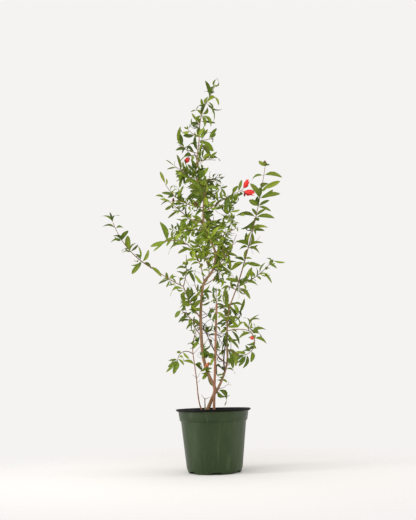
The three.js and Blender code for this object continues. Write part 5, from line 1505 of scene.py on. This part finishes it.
    ("upper_left_flower_shoot", "dark_leaf", [
        (189.5, 176, 190.3, 172, 189.5, 168, 2.6), (185, 174.5, 181, 181.5, 180.6, 187.3, 1.9),
        (185.5, 174.5, 184, 180, 185.6, 184.8, 1.7), (192.5, 177, 196, 174.5, 195, 170, 2),
    ]),
    ("upper_left_flower_shoot", "fresh_leaf", [
        (181.5, 172, 178.5, 173, 175.5, 173.6, 1.6), (183, 173.5, 180.5, 176.5, 179.5, 181, 3),
    ]),
    ("right_shoulder_shoot", "leaf", [
        (203.5, 183, 206.5, 176.5, 210.8, 178.8, 1.7), (202, 184.5, 207, 180.3, 212.5, 180.8, 3.2),
        (203, 184, 208.5, 184, 213.5, 185, 2.6),
    ]),
    ("right_shoulder_shoot", "dark_leaf", [
        (206, 181.8, 209, 186.5, 212.5, 193.3, 2.2), (205, 182.3, 209.5, 178.9, 214, 179.2, 2),
        (209, 180.8, 214.5, 178.4, 220.5, 180.3, 1.7), (219.5, 178.5, 222.5, 178.6, 225.2, 175.9, 1.6),
        (213.5, 179.5, 217.5, 181.6, 220.8, 179.8, 1.8),
    ]),
    ("shoulder_stub", "dark_leaf", [(214.5, 183, 219.5, 185.7, 224.3, 184, 1.9)]),
    ("shoulder_out", "leaf", [(215.3, 184, 216.7, 188, 215.4, 191.3, 2)]),
    ("shoulder_out", "dark_leaf", [(219.9, 188.2, 223.6, 191.3, 225.7, 196.3, 2)]),
    ("shoulder_drop", "dark_leaf", [
        (213.5, 194, 216.6, 192.6, 219, 190, 1.6), (214.5, 195.3, 213.5, 199.4, 208.5, 198.6, 2),
        (213.5, 194.2, 212.5, 197.8, 216, 197.7, 2),
    ]),
    ("shoulder_drop", "leaf", [(212.3, 192.3, 211.5, 196, 209, 198, 2.2)]),
    ("upper_left_high_shoot", "leaf", [
        (176, 197, 178, 191, 181.8, 189.5, 2.4), (178.5, 199.5, 180.5, 193.5, 178, 190.5, 2.6),
        (178, 199, 181.5, 189.5, 185.3, 188, 1.3), (181, 201, 178.3, 199, 177.9, 194.8, 2.3),
        (184, 202.6, 182.5, 198.3, 178, 198.8, 2.2), (187, 203.8, 184.5, 196.5, 181, 198.6, 2.2),
        (188, 204.5, 185.5, 199.5, 189.7, 200, 2), (185, 203.5, 178.5, 204.5, 171.8, 205, 2.2),
        (195.5, 206.5, 193.5, 200, 190.8, 199.8, 2.2), (194, 206.3, 192.8, 210, 196, 210.5, 2),
        (198.5, 207, 199.5, 203.5, 196.5, 200, 2.4),
    ]),
    ("upper_left_high_shoot", "fresh_leaf", [
        (177, 198.3, 176, 190.5, 172.3, 192.4, 2), (174.5, 196, 172.5, 190, 177.3, 188.6, 2.2),
        (170, 191.5, 174, 185.7, 178, 188.3, 1.2), (186.5, 204, 180, 201.2, 175.3, 202.4, 2.8),
    ]),
    ("upper_left_high_shoot", "dark_leaf", [
        (190, 205.2, 190.5, 198, 186.5, 197, 2.4), (193, 206.2, 191.3, 201, 187.7, 199.5, 2.2),
        (190.5, 205.5, 189.5, 209, 192, 212.3, 2), (200.5, 207, 198.5, 211.5, 194.5, 210, 2),
    ]),
    ("flower_bough", "leaf", [(209.5, 208.5, 212.5, 203, 216.3, 200.6, 2.6)]),
    ("flower_bough", "dark_leaf", [(211, 208, 212, 205, 211.4, 202.5, 1.8)]),
    ("upper_left_low_shoot", "leaf", [(172.3, 204.5, 168.5, 207.8, 165, 209.7, 2)]),
    ("arm_left", "leaf", [
        (178.3, 205.5, 178.4, 208.3, 180.3, 210.5, 1.6), (177.5, 206.4, 175, 203.5, 180.5, 203.6, 2),
    ]),
    ("left_spur", "fresh_leaf", [(181, 210, 177.5, 211.6, 173, 211.2, 1.5)]),
    ("left_spur", "dark_leaf", [(182, 209.3, 184.5, 208, 187, 208.6, 1.4)]),
    ("left_spur", "leaf", [(181, 210.3, 181.5, 212.5, 183, 213, 1.6)]),
    ("upper_left_low_bough", "dark_leaf", [
        (188, 218, 185.5, 213.5, 185.8, 208.3, 2), (191, 219.7, 188, 225.5, 182.5, 228.3, 3),
        (195, 221, 196, 225.3, 202, 226.3, 3), (197, 222, 194.5, 216.5, 190.5, 215.8, 3),
    ]),
    ("upper_left_low_bough", "leaf", [
        (188.3, 218, 189, 213, 192.2, 211.5, 1.8), (190, 219, 190, 215, 193.5, 213, 2),
        (189, 218.5, 183.5, 222.3, 180.3, 229.5, 3.8), (192, 220, 195.5, 223.5, 201.5, 222, 3),
        (199, 222.5, 198.5, 217, 195.5, 214.5, 2.8),
    ]),
    ("left_bright_up", "fresh_leaf", [
        (187, 226, 183.5, 222, 176.5, 220.8, 1.4), (187.2, 225, 182, 229.5, 179.8, 237, 2.6),
    ]),
    ("left_bright_up", "leaf", [(187.1, 226.4, 184, 229.5, 180.5, 231.5, 2.4)]),
    ("left_bright_out", "dark_leaf", [(178.5, 232.5, 178.8, 226.5, 177.2, 223.3, 2.3)]),
    ("left_bright_out", "leaf", [
        (177.5, 231.5, 175, 227, 181, 227.6, 2), (172.2, 229.5, 172.3, 226.5, 171.4, 223.8, 1.4),
        (176, 230.8, 172.2, 235, 172.4, 239.3, 1.4),
    ]),
    ("left_bright_shoot", "fresh_leaf", [
        (184, 232.3, 177.5, 232.5, 173.5, 239.5, 3.2), (183, 233, 180.5, 238.5, 175.5, 238.5, 3),
        (180.5, 234, 183.5, 237.6, 178.5, 240.5, 2.6), (178, 235.3, 173.5, 238, 169.8, 239.8, 1.3),
        (189, 231, 187.5, 235, 183, 236, 2.8),
    ]),
    ("left_bright_shoot", "leaf", [
        (192, 230, 195.5, 226, 202, 228.2, 2.6), (190, 230.5, 193.5, 224.5, 191.5, 222.5, 3),
        (188.5, 231, 185, 227.5, 187.5, 222.5, 2.4), (191.5, 230.3, 187.5, 232.5, 182.5, 233.5, 2.6),
    ]),
    ("left_bright_shoot", "dark_leaf", [
        (195, 230, 193, 233.5, 191.5, 236.5, 1.8), (198.5, 230, 197, 233.5, 193, 235, 1.6),
        (202, 230, 203.5, 231, 205, 233.8, 1.6),
    ]),
    ("center_bright_shoot", "fresh_leaf", [
        (198, 246.5, 199, 241.5, 196.2, 240, 2.2), (197, 245, 193.5, 242.5, 190.5, 240.3, 2),
        (199, 247, 194, 246.5, 189, 241.5, 2), (200, 248, 195.5, 250.5, 192.5, 250.2, 2.6),
        (199.5, 247.5, 203, 243, 208, 244, 2.2), (197.5, 245.5, 200.5, 238.5, 205.3, 240, 2.4),
        (202, 249.5, 203.5, 246.5, 201, 243, 2.6), (206.5, 256, 200.5, 252.5, 199.3, 247.5, 3.4),
        (207, 257, 203, 250.5, 206.5, 246.5, 3.4), (204, 252, 209, 252, 211.5, 256, 2.6),
        (208.3, 262, 210, 264, 213, 263.8, 2.4),
    ]),
    ("center_bright_shoot", "leaf", [
        (201, 249, 206, 246.5, 209.5, 250.3, 2.4), (206.8, 256.5, 201.5, 254.5, 199, 259, 2.6),
        (206, 255, 208.5, 249.5, 212, 251.5, 2.4), (207.3, 258, 205, 259.5, 204.4, 263.2, 1.6),
    ]),
    ("low_spur", "dark_leaf", [
        (211.5, 219.8, 212.6, 222.5, 211.8, 225.3, 1.7), (213.5, 221, 215.5, 224, 216.8, 227, 1.5),
    ]),
    ("low_spur", "leaf", [
        (209.5, 220, 207.5, 224, 210.5, 226, 2), (215.5, 224, 212, 226.5, 207, 225, 1.8),
    ]),
    ("mid_right_shoot", "leaf", [
        (217, 207.3, 219.8, 209, 218.5, 204.5, 1.6), (214.5, 209.5, 219, 199.5, 221.8, 196.6, 2.4),
        (226.5, 202, 222, 198, 219.5, 200, 2.4), (230.5, 199.3, 230.3, 196.5, 232.3, 194.3, 2.6),
        (228, 201, 232.5, 202.5, 235.5, 199.3, 2.4), (232, 198.3, 235, 198.4, 236.5, 193.5, 2.2),
    ]),
    ("mid_right_shoot", "dark_leaf", [
        (219.5, 206.2, 221.3, 206, 222.9, 211.5, 2.6), (229.5, 200.2, 236.5, 202.3, 238.5, 196, 2.2),
    ]),
    ("droop_spur", "dark_leaf", [(228.4, 214.5, 225.3, 207.5, 227.6, 200.3, 3.2)]),
    ("droop_spur", "fresh_leaf", [
        (228.5, 214, 230.2, 207.5, 228.7, 201, 2.8), (229.3, 211.5, 234, 211, 240.2, 208.4, 1.9),
    ]),
    ("droop_spur", "leaf", [
        (230.5, 209, 233.5, 209.7, 233, 206.5, 1.8), (230.8, 204.5, 233, 205.3, 234.5, 202.5, 1.6),
    ]),
    ("sway_twig", "dark_leaf", [
        (227.5, 215.6, 224.6, 217.2, 223.3, 222.8, 1.8), (226.5, 215.2, 223.5, 216.8, 221.2, 215.6, 1.6),
        (227.8, 215.8, 226.9, 218, 225.7, 220.5, 1.8),
    ]),
    ("sway_fork", "leaf", [
        (229, 216.8, 231, 216.2, 232.3, 214.6, 2), (230, 218, 231.5, 217.2, 233.6, 218.8, 2.6),
        (231.3, 220, 233, 219, 234.3, 214.2, 1.4), (231, 224.5, 234, 225.5, 236, 229.2, 1.9),
        (231, 224.3, 229, 226.8, 228.5, 230, 1.6),
    ]),
    ("sway_fork", "fresh_leaf", [
        (231.4, 221.5, 229, 221, 226.5, 223, 3), (231.4, 222, 233, 219.8, 234.5, 221.5, 2.6),
    ]),
    ("sway_fork", "dark_leaf", [(231.2, 223.5, 233.5, 224.3, 236.8, 223.3, 1.6)]),
    ("tall_thin", "dark_leaf", [
        (227.5, 222.5, 221.5, 221, 220.6, 218.2, 2.2), (226.5, 224.5, 220.5, 223.5, 216.8, 228, 3.2),
    ]),
    ("tall_thin", "leaf", [
        (226, 226.5, 222.5, 225, 218.3, 228, 2.4), (226, 228.5, 222, 228, 219.5, 226.5, 1.5),
        (225.3, 233.5, 221.5, 231.5, 216, 235.3, 3),
    ]),
    ("tall_thin", "fresh_leaf", [
        (225.8, 231, 230, 229.8, 234.3, 231.6, 1.1), (225.5, 232, 229, 231.3, 232, 234.7, 1.1),
    ]),
    ("center_right_shoot", "leaf", [
        (225.5, 234.6, 228, 235.5, 228.9, 232.5, 1.6), (220, 238, 219.5, 233, 225, 232.3, 3),
        (222.5, 236.5, 221, 239, 219.8, 241.5, 2),
    ]),
    ("center_right_shoot", "dark_leaf", [
        (227.5, 233.3, 230.5, 236, 234.8, 236.6, 1.8), (226.5, 234, 230, 238.5, 234.5, 237.4, 1.4),
        (219, 238.7, 223.5, 236.5, 224, 233.5, 2.6),
    ]),
    ("center_stub", "fresh_leaf", [
        (219, 241.2, 224.5, 240.3, 226, 243.5, 2.2), (221.5, 241, 222.5, 245.5, 218, 246, 2.4),
    ]),
    ("center_stub", "leaf", [
        (221, 241, 224, 242.7, 221, 246.5, 2.4), (222.5, 240.8, 227, 243, 231.7, 240.3, 1.8),
    ]),
    ("center_stub", "dark_leaf", [
        (222.8, 240.9, 226, 243, 224.5, 248, 2.8), (222.6, 240.9, 228, 244, 231.7, 245.2, 2.6),
    ]),
    ("center_right_shoot", "fresh_leaf", [(214.5, 241.5, 216, 244.5, 222.5, 244.5, 2.2)]),
    ("inner_right_shoot", "dark_leaf", [(232.5, 243.5, 228.5, 249.3, 223.5, 248, 3)]),
    ("inner_right_shoot", "leaf", [(231, 247.5, 230, 244, 226.5, 242.5, 2.4)]),
    ("center_bright_shoot", "dark_leaf", [
        (207, 257.5, 201.5, 256.5, 200.5, 261.5, 3), (205, 253.5, 206.5, 249.3, 211.5, 250, 1.8),
        (208.5, 264.5, 208.6, 267, 206, 268.6, 2),
    ]),
    ("mass_spur", "leaf", [
        (216.5, 251.3, 219.5, 250, 219.3, 245.6, 3), (218, 250.2, 220.5, 246.5, 224.5, 245, 3),
        (219, 250, 222.5, 247.7, 227, 247.8, 3), (221, 249.3, 221.5, 253.5, 217.5, 255.3, 3),
        (216, 251.8, 218.5, 254, 223, 253.6, 2.6),
    ]),
    ("mass_spur", "dark_leaf", [
        (224, 249.6, 228, 248.7, 230.7, 245.2, 2.8), (228, 251.3, 230, 252.3, 232, 254.3, 1.6),
    ]),
    ("mass_spur", "fresh_leaf", [(226, 250.1, 229.5, 249.3, 232.7, 251.2, 1.9)]),
    ("mass_drop", "leaf", [
        (223, 251.5, 226.5, 252.3, 228.3, 256.3, 3), (224, 253.3, 222.5, 256.5, 226, 260.5, 3),
        (225.3, 256.6, 226.5, 259.5, 225.3, 263.5, 2.4),
    ]),
    ("mass_drop", "dark_leaf", [
        (223.5, 252.5, 221, 257.3, 225.3, 263.8, 2.2), (226.3, 260, 222.7, 260, 221.4, 256.4, 1.9),
    ]),
    ("mass_drop", "fresh_leaf", [(225, 256, 229, 256.5, 231, 259.5, 2)]),
    ("fork_twig", "fresh_leaf", [(221.3, 263.5, 224, 264.5, 226.3, 265.8, 1.6)]),
    ("fork_twig", "leaf", [
        (219.5, 265.7, 222, 267.8, 224.5, 266.5, 1.6), (218, 267.8, 219.5, 270, 222.7, 270.6, 2.2),
    ]),
    ("tall_link", "leaf", [(230.3, 270.6, 229.6, 262, 227.6, 256.5, 2)]),
    ("tall_link", "dark_leaf", [
        (230.5, 271, 227.5, 271.3, 225.4, 270, 1.4), (230.3, 270.5, 227, 266.8, 223.6, 268.9, 1.3),
    ]),
    ("tall_link", "fresh_leaf", [(230.8, 272, 228, 272.3, 223.3, 274.2, 1.6)]),
    ("fork_end", "leaf", [
        (218.3, 275.7, 217, 273.5, 218.5, 271.3, 2), (219, 275.2, 217.8, 277.3, 216.3, 279.5, 1.8),
        (220.5, 273.5, 222.5, 275.5, 222.6, 279, 1.6),
    ]),
    ("low_fork", "leaf", [
        (220, 277.5, 217.5, 279.3, 215.4, 282.2, 1.5), (220.6, 278.3, 218.3, 280.8, 220.6, 285, 2.3),
        (221, 279, 218.8, 282.5, 216.5, 283.8, 1.6),
    ]),
    ("low_fork", "fresh_leaf", [(221.3, 279.3, 223, 283, 221.3, 287.4, 2.8)]),
    ("dark_f", "leaf", [(208.4, 314.4, 210.5, 316, 210.3, 319.3, 2.6)]),
    ("dark_x", "leaf", [(212.3, 309.5, 210.5, 309.5, 209.8, 306.8, 2)]),
]

# A set leaf faces the front, give or take, and leans towards or away from it. Its width is
# the one in the frame, made wider because it is seen folded and turned.
FACE_OUT = Vector((0, -0.97, 0.22))
FACE_VARIES = (1.2, 0, 0.7)
LEAN = 1.2
BLADE_WIDER = 1.28
BLADE_MARGIN = 1.6
NARROWER = {"broad_leaf_shoot": 0.9}
BARK_SHARE = 0.8
# A smaller leaf may stand beside a set one at its node: the chance of it where the crown is
# thick and where it is open, how far it turns aside, and its share of the length.
THICK_CHANCE = 0.85
OPEN_CHANCE = 0.2
BESIDE_TURN = (30, 75)
BESIDE_LENGTH = (0.55, 0.9)
BESIDE_WIDTH = 0.85
# The sunlit middle of the crown: its left, right, top and bottom in pixels.
SUNLIT = (178, 236, 205, 272)
SUNLIT_CHANCE = 0.75
LIGHTER = {"dark_leaf": "leaf", "leaf": "fresh_leaf", "fresh_leaf": "fresh_leaf"}
# Up to which draw a leaf has the first and the second shade of its tone, then the third.
SET_SHADES = (0.5, 0.75)
GROWN_SHADES = (0.5, 0.76)
YELLOW_FROM = 0.985
YELLOW_SHADE = 3


def bark_depth(line, share):
    """How far the bark of a stem or bough stands in front of its centre line."""
    for wood in limbs.values():
        for other, radius_at in wood:
            if other is line:
                return BARK_SHARE * radius_at(share)
    return 0


def shade_of(pick, limits):
    """The number of the shade that a draw picks."""
    return 0 if pick < limits[0] else 1 if pick < limits[1] else 2


def laid_leaf(root, chord, rise, width, draw):
    """A leaf through its root, a middle that stands off the chord by the rise, and its tip."""
    aside = Vector((-chord.z, 0, chord.x)).normalized()
    middle = chord / 2 + aside * rise
    way = 4 * middle - chord
    way.y = LEAN * (draw() - 0.5) * chord.length
    along = way.normalized()
    level, raised = crosswise(along)
    face = FACE_OUT + Vector([(draw() - 0.5) * wide for wide in FACE_VARIES])
    roll = math.degrees(math.atan2(face.dot(level), face.dot(raised)))
    return (root, along, roll, way.length, width, shade_of(draw(), SET_SHADES), 2 * chord - 4 * middle)


def lit_tone(tone, x, y, pick):
    """The tone of a leaf at a pixel: most of those in the sunlit middle are a tone lighter."""
    left, right, top, bottom = SUNLIT
    if left < x < right and top < y < bottom and pick < SUNLIT_CHANCE:
        return LIGHTER[tone]
    return tone


def place_leaves(limb, tone, rows):
    """The leaves of a limb whose places are known, each carried to the limb's own depth."""
    line = lines[limb]
    draw = chance(limb + "_set")
    beside_chance = OPEN_CHANCE if limb.removesuffix("_shoot") in OPEN_SHOOTS else THICK_CHANCE
    for root_x, root_y, mid_x, mid_y, tip_x, tip_y, width in rows:
        share = share_at(limb, (root_x, root_y))
        root = line.at(share)
        chord = at_depth((tip_x, tip_y), root.y) - root
        middle = at_depth((mid_x, mid_y), root.y) - root
        aside = Vector((-chord.z, 0, chord.x)).normalized()
        rise = (middle - chord / 2).dot(aside)
        pixel_size = (root.y - EYE.y / MM) / FOCAL_PIXELS
        blade = (BLADE_WIDER * width * pixel_size + BLADE_MARGIN) * NARROWER.get(limb, 1)
        root = root - Vector((0, bark_depth(line, share), 0))
        leaves = placed[lit_tone(tone, root_x, root_y, draw())]
        leaves.append(laid_leaf(root, chord, rise, blade, draw))
        if draw() < beside_chance:
            turn = math.radians(within(BESIDE_TURN, draw())) * (1 if draw() < 0.5 else -1)
            length = within(BESIDE_LENGTH, draw())
            beside = Matrix.Rotation(turn, 3, "Y") @ chord * length
            leaves.append(laid_leaf(root, beside, -rise * length, blade * BESIDE_WIDTH, draw))


placed = {tone: [] for tone in SHADES}
for row in SET_LEAVES:
    place_leaves(*row)
for tone, shades in SHADES.items():
    materials = []
    for number, colours in enumerate([*shades, YELLOWING]):
        for (part, roughness, gloss), colour in zip(BLADE_PARTS, colours):
            materials.append(leaf_finish(f"{tone}_{part}_{number}", colour, roughness, gloss))
    leaves = []
    toned = [spray for spray in sprays if spray.tone == tone]
    for spray in toned:
        draw = chance(spray.name + "_tones")
        for root, along, roll, length in spray.leaves:
            pick = draw()
            shade = YELLOW_SHADE if pick > YELLOW_FROM else shade_of(pick, GROWN_SHADES)
            blade = length * BLADE_STRETCH
            width = blade * SLIM_LEAF * within(SLIM_VARIES, draw())
            leaves.append((root, along, roll, blade, width, shade, None))
    leaves += placed[tone]
    finished(f"{tone}_blades", leaf_mesh(f"{tone}_blades", leaves), materials, tone,
             *[spray.name + "_spray" for spray in toned])

TWIG_ROUND = 2
TWIG_RINGS = 5
twig_bark = bark_finish("twig_bark", linear(74, 50, 34), linear(112, 82, 56), linear(140, 110, 78), 0.75)
shoots = tubes("shoots_and_twigs", [limb for spray in sprays for limb in spray.wood] + twig_lines,
               TWIG_ROUND, TWIG_RINGS)
finished("shoots_and_twigs", shoots, [twig_bark], "bark")
dark_bark = bark_finish("dark_twig_bark", linear(36, 28, 24), linear(64, 51, 42), linear(98, 82, 69), 0.8)
dead = tubes("dead_twigs", dead_lines, TWIG_ROUND, TWIG_RINGS)
finished("dead_twigs", dead, [dark_bark], "dead_wood")

# ------------------------------------------------------------------ flowers and buds
# Waxy scarlet flowers and shut buds on short stalks. A flower is a small dark cup with six
# pointed lobes round a bundle of crumpled petals; a bud is the same waxy cup still closed.

# Kind, the limb and share it springs from, its stalk and axis in millimetres, and its width.
BLOOMS = [
    ("scarlet", "flower_shoot", 1, (6, -4, 5), (16, -5, 24), 13),
    ("scarlet", "flower_shoot", 0.99, (7, -4, -5), (33, -8, -9), 16),
    ("scarlet", "high_left_shoot", 0.63, (3, -8, -11), (-16, -7, -10), 13),
    ("crimson", "flower_shoot", 1, (8, -3, -9), (0, -2, -12), 6),
    ("crimson", "upper_left_low_shoot", 0.665, (4, -4, 4), (-1, -2, 15), 7),
    ("crimson", "upper_left_high_shoot", 0.175, (6, -5, 6), (-10, -3, 2), 5),
    ("coral", "bud_shoot", 0.28, (-2, -4, 0), (-8, -4, -6), 11),
    ("orange", "leader_stem", 0.165, (-1, -11, -2), (9, -4, 17), 10),
    ("brown", "right_tall_shoot", 1, (-1, -1, 1), (-2, -1, 8), 6),
    ("brown", "right_tall_shoot", 0.45, (-17, -4, 1), (-2, -1, 6), 4),
]
BLOOM_STEPS = 12
CUP = [(0, 0), (0.1, 0.02), (0.34, 0.16), (0.4, 0.3), (0.5, 0.46), (0.42, 0.44), (0.24, 0.28), (0, 0.24)]
SHUT = [(0, 0), (0.12, 0.01), (0.4, 0.14), (0.5, 0.34), (0.44, 0.6), (0.26, 0.82), (0.12, 0.96), (0, 1)]
RIBS = 6
RIB_HEIGHT = 0.09
CUP_WIDTH = 0.5
CUP_HEIGHT = 0.4
POINTS_FROM = 0.12
POINT_RISE = 0.5
PETALS = 7
PETAL_ACROSS = 3
PETAL_ALONG = 6
PETAL_JITTER = 0.4
PETAL_REACH = (0.82, 0.18, 2.4)
PETAL_SPREAD = 0.95
SPREAD_GROWS = (0.12, 0.8, 0.92)
SPREAD_POWER = 0.6
PETAL_FOOT = 0.2
PETAL_BULGE = 0.62
BULGE_GROWS = (0.85, 0.7)
INNER_BULGE = 0.72
PETAL_CRUMPLE = 0.1
CRUMPLE_STEPS = (2, 5, 7)
PETAL_START = 0.06
PETAL_CORNERS = 0.12
PETAL_WIDTH = 0.72
PETAL_THICKNESS = 0.35
STALK_GIRTH = (1.6, 1.3)
STALK_ROUND = 2
STALK_RINGS = 2
STALK_INTO_CUP = 0.04


def stand(bm, verts, base, axis):
    """Turns parts made up the z axis to lie along an axis from a base."""
    turn = UP.rotation_difference(Vector(axis)).to_matrix().to_4x4()
    bmesh.ops.transform(bm, matrix=Matrix.Translation(base * MM) @ turn, verts=verts)


def bloom_mesh(name, kinds, part):
    """One part of every bloom of some kinds, stood on its stalk and joined."""
    bm = bmesh.new()
    for kind, on, at, stalk, axis, width in BLOOMS:
        if kind not in kinds:
            continue
        base = lines[on].at(at) + Vector(stalk)
        length = Vector(axis).length
        before = set(bm.verts)
        part(bm, kind, width, length)
        stand(bm, [v for v in bm.verts if v not in before], base, axis)
    bmesh.ops.recalc_face_normals(bm, faces=bm.faces)
    for face in bm.faces:
        face.smooth = True
    mesh = bpy.data.meshes.new(name)
    bm.to_mesh(mesh)
    bm.free()
    return mesh


def spun_part(bm, profile, width, length):
    """A solid spun from a profile given as shares of the width and the length."""
    before = set(bm.verts)
    ring = [bm.verts.new((r * width * MM, 0, z * length * MM)) for r, z in profile]
    edges = [bm.edges.new(pair) for pair in zip(ring, ring[1:])]
    bmesh.ops.spin(bm, geom=ring + edges, cent=(0, 0, 0), axis=(0, 0, 1), angle=math.tau,
                   steps=BLOOM_STEPS, use_merge=True)
    made = [v for v in bm.verts if v not in before]
    bmesh.ops.remove_doubles(bm, verts=made, dist=1e-6)
    return [v for v in bm.verts if v not in before]


def bud_part(bm, kind, width, length):
    """A shut bud with six shallow ribs that meet at its tip."""
    for v in spun_part(bm, SHUT, width, length):
        rib = 1 + RIB_HEIGHT * math.cos(RIBS * math.atan2(v.co.y, v.co.x))
        v.co.x *= rib
        v.co.y *= rib


def cup_part(bm, kind, width, length):
    """The open cup of a flower, its rim drawn out to six points."""
    for v in spun_part(bm, CUP, width * CUP_WIDTH, length * CUP_HEIGHT):
        point = 1 + math.cos(RIBS * math.atan2(v.co.y, v.co.x))
        high = max(0, v.co.z / (length * MM) - POINTS_FROM)
        v.co.z += point * high * length * MM * POINT_RISE


def petal_part(bm, kind, width, length):
    """A bundle of crumpled petals that widens from the cup and closes over at the tip."""
    reach_mean, reach_varies, reach_turn = PETAL_REACH
    spread_from, spread_rate, spread_to = SPREAD_GROWS
    bulge_rate, bulge_to = BULGE_GROWS
    crumple_across, crumple_along, crumple_apart = CRUMPLE_STEPS
    for k in range(PETALS):
        grid = bmesh.ops.create_grid(bm, x_segments=PETAL_ACROSS, y_segments=PETAL_ALONG, size=0.5)
        faces = {face for v in grid["verts"] for face in v.link_faces}
        turn = math.tau * (k + PETAL_JITTER * noise.noise(Vector((k, width, 0)))) / PETALS
        reach = reach_mean + reach_varies * math.cos(k * reach_turn)
        folded = 1 if k % 2 else INNER_BULGE
        for v in grid["verts"]:
            across, share = 2 * v.co.x, v.co.y + 0.5
            open_at = min(spread_from + spread_rate * share, spread_to)
            angle = turn + across * PETAL_SPREAD * math.sin(math.pi * open_at) ** SPREAD_POWER
            bulge = PETAL_FOOT + PETAL_BULGE * math.sin(math.pi * min(share * bulge_rate, bulge_to)) * folded
            ripple = Vector((across * crumple_across + k * crumple_apart, share * crumple_along, width))
            radius = width * (bulge + PETAL_CRUMPLE * noise.noise(ripple)) * PETAL_WIDTH
            full = reach * share * (1 - PETAL_CORNERS * across ** 2)
            tip = length * (PETAL_START + (1 - PETAL_START) * full)
            v.co = Vector((radius * math.cos(angle), radius * math.sin(angle), tip)) * MM
        bmesh.ops.solidify(bm, geom=list(faces), thickness=PETAL_THICKNESS * MM)


def bloom_finish(name, deep, middle, light, roughness):
    """A waxy skin with painted shade: darker in its folds, lighter on its crests."""
    skin = Finish(name, roughness, 0.4, 0.15, 0.3)
    folds = skin.grain(skin.place, 240, 4, 0.6)
    # Painted shade: the colour deepens where the folds dip and lightens on their crests.
    skin.colour(skin.ramp(folds, (0.32, linear(*deep)), (0.5, linear(*middle)), (0.7, linear(*light))))
    skin.bump(folds, 0.35, 0.0006)
    return skin.material


BLOOM_SKINS = {
    "crimson": ((74, 16, 16), (112, 26, 22), (140, 42, 32)),
    "coral": ((176, 34, 24), (222, 62, 46), (236, 96, 74)),
    "orange": ((164, 78, 34), (200, 106, 50), (222, 142, 80)),
    "brown": ((64, 44, 34), (96, 68, 50), (124, 94, 70)),
}
finished("flower_petals", bloom_mesh("flower_petals", ["scarlet"], petal_part),
         [bloom_finish("scarlet_petal", (196, 14, 18), (232, 34, 30), (246, 72, 52), 0.5)], None)
finished("flower_cups", bloom_mesh("flower_cups", ["scarlet"], cup_part),
         [bloom_finish("dark_cup", (40, 24, 30), (66, 36, 40), (96, 50, 48), 0.45)], None)
for kind, shades in BLOOM_SKINS.items():
    finished(f"{kind}_buds", bloom_mesh(f"{kind}_buds", [kind], bud_part),
             [bloom_finish(f"{kind}_bud_skin", *shades, 0.42)], None)
stalks = []
for _, on, at, stalk, axis, _ in BLOOMS:
    root = lines[on].at(at)
    end = root + Vector(stalk) + Vector(axis) * STALK_INTO_CUP
    stalks.append((course_line([root, root + Vector(stalk) * 0.5, end]), taper(*STALK_GIRTH)))
stalk_mesh = tubes("bloom_stalks", stalks, STALK_ROUND, STALK_RINGS)
finished("bloom_stalks", stalk_mesh, [twig_bark], "bark")

# ------------------------------------------------------------------ floor, light and camera
# A pale round floor that fades into an even studio sky. A broad soft light stands at the upper
# left, and two tall strips graze the pot. The camera stands low in front and looks slightly up.

SENSOR = 36
FLOOR_RADIUS = 2.2
FLOOR_CORNERS = 96
FLOOR_BELOW = 0.0005
FLOOR_FADES = (0.3, 0.95)
SKY_COLOUR = linear(245, 243, 241)
SKY_STRENGTH = 1.0
FLOOR_COLOUR = linear(227, 225, 223)

floor_finish = Finish("pale_floor", 0.9, 0.0)
floor_finish.colour(floor_finish.ramp(floor_finish.grain(floor_finish.place, 0.8, 2),
                                      (0.3, FLOOR_COLOUR), (0.7, linear(231, 229, 227))))
reach = floor_finish.nodes.new("ShaderNodeVectorMath")
reach.operation = "LENGTH"
floor_finish.links.new(floor_finish.place, reach.inputs[0])
fade = floor_finish.nodes.new("ShaderNodeMapRange")
fade.interpolation_type = "SMOOTHSTEP"
for socket, value in zip(("From Min", "From Max", "To Min", "To Max"), (*FLOOR_FADES, 1, 0)):
    fade.inputs[socket].default_value = value
floor_finish.links.new(reach.outputs["Value"], fade.inputs["Value"])
floor_finish.links.new(fade.outputs["Result"], floor_finish.shader.inputs["Alpha"])
floor_mesh = bpy.data.meshes.new("floor")
bm = bmesh.new()
bmesh.ops.create_circle(bm, cap_ends=True, radius=FLOOR_RADIUS, segments=FLOOR_CORNERS)
bm.to_mesh(floor_mesh)
bm.free()
floor_mesh.materials.append(floor_finish.material)
floor = bpy.data.objects.new("floor", floor_mesh)
floor.location.z = -FLOOR_BELOW
bpy.context.scene.collection.objects.link(floor)

world = bpy.context.scene.world or bpy.data.worlds.new("studio")
bpy.context.scene.world = world
world.use_nodes = True
sky = world.node_tree.nodes["Background"]
sky.inputs["Color"].default_value = SKY_COLOUR
sky.inputs["Strength"].default_value = SKY_STRENGTH


def soft_light(name, place, aim, width, height, power):
    """A rectangular area light aimed at a height on the tree's axis."""
    data = bpy.data.lights.new(name, "AREA")
    data.shape = "RECTANGLE"
    data.size = width
    data.size_y = height
    data.energy = power
    light = bpy.data.objects.new(name, data)
    light.location = place
    light.rotation_euler = (Vector((0, 0, aim)) - Vector(place)).to_track_quat("-Z", "Y").to_euler()
    light.visible_camera = False
    bpy.context.scene.collection.objects.link(light)


soft_light("key", (-1.2, -1.7, 2.6), 0.6, 2.8, 2.8, 27)
soft_light("left_strip", (-1.6, -0.5, 0.7), 0.5, 0.35, 1.6, 14)
soft_light("right_strip", (1.7, -0.2, 0.6), 0.4, 0.3, 1.4, 7)

lens = bpy.data.cameras.new("camera")
lens.sensor_width = SENSOR
lens.lens = SENSOR * FOCAL_PIXELS / FRAME_HEIGHT
camera = bpy.data.objects.new("camera", lens)
camera.matrix_world = Matrix.Translation(EYE) @ CAMERA_TURN.to_4x4()
bpy.context.scene.collection.objects.link(camera)
bpy.context.scene.camera = camera
bpy.context.scene.view_settings.view_transform = "Standard"
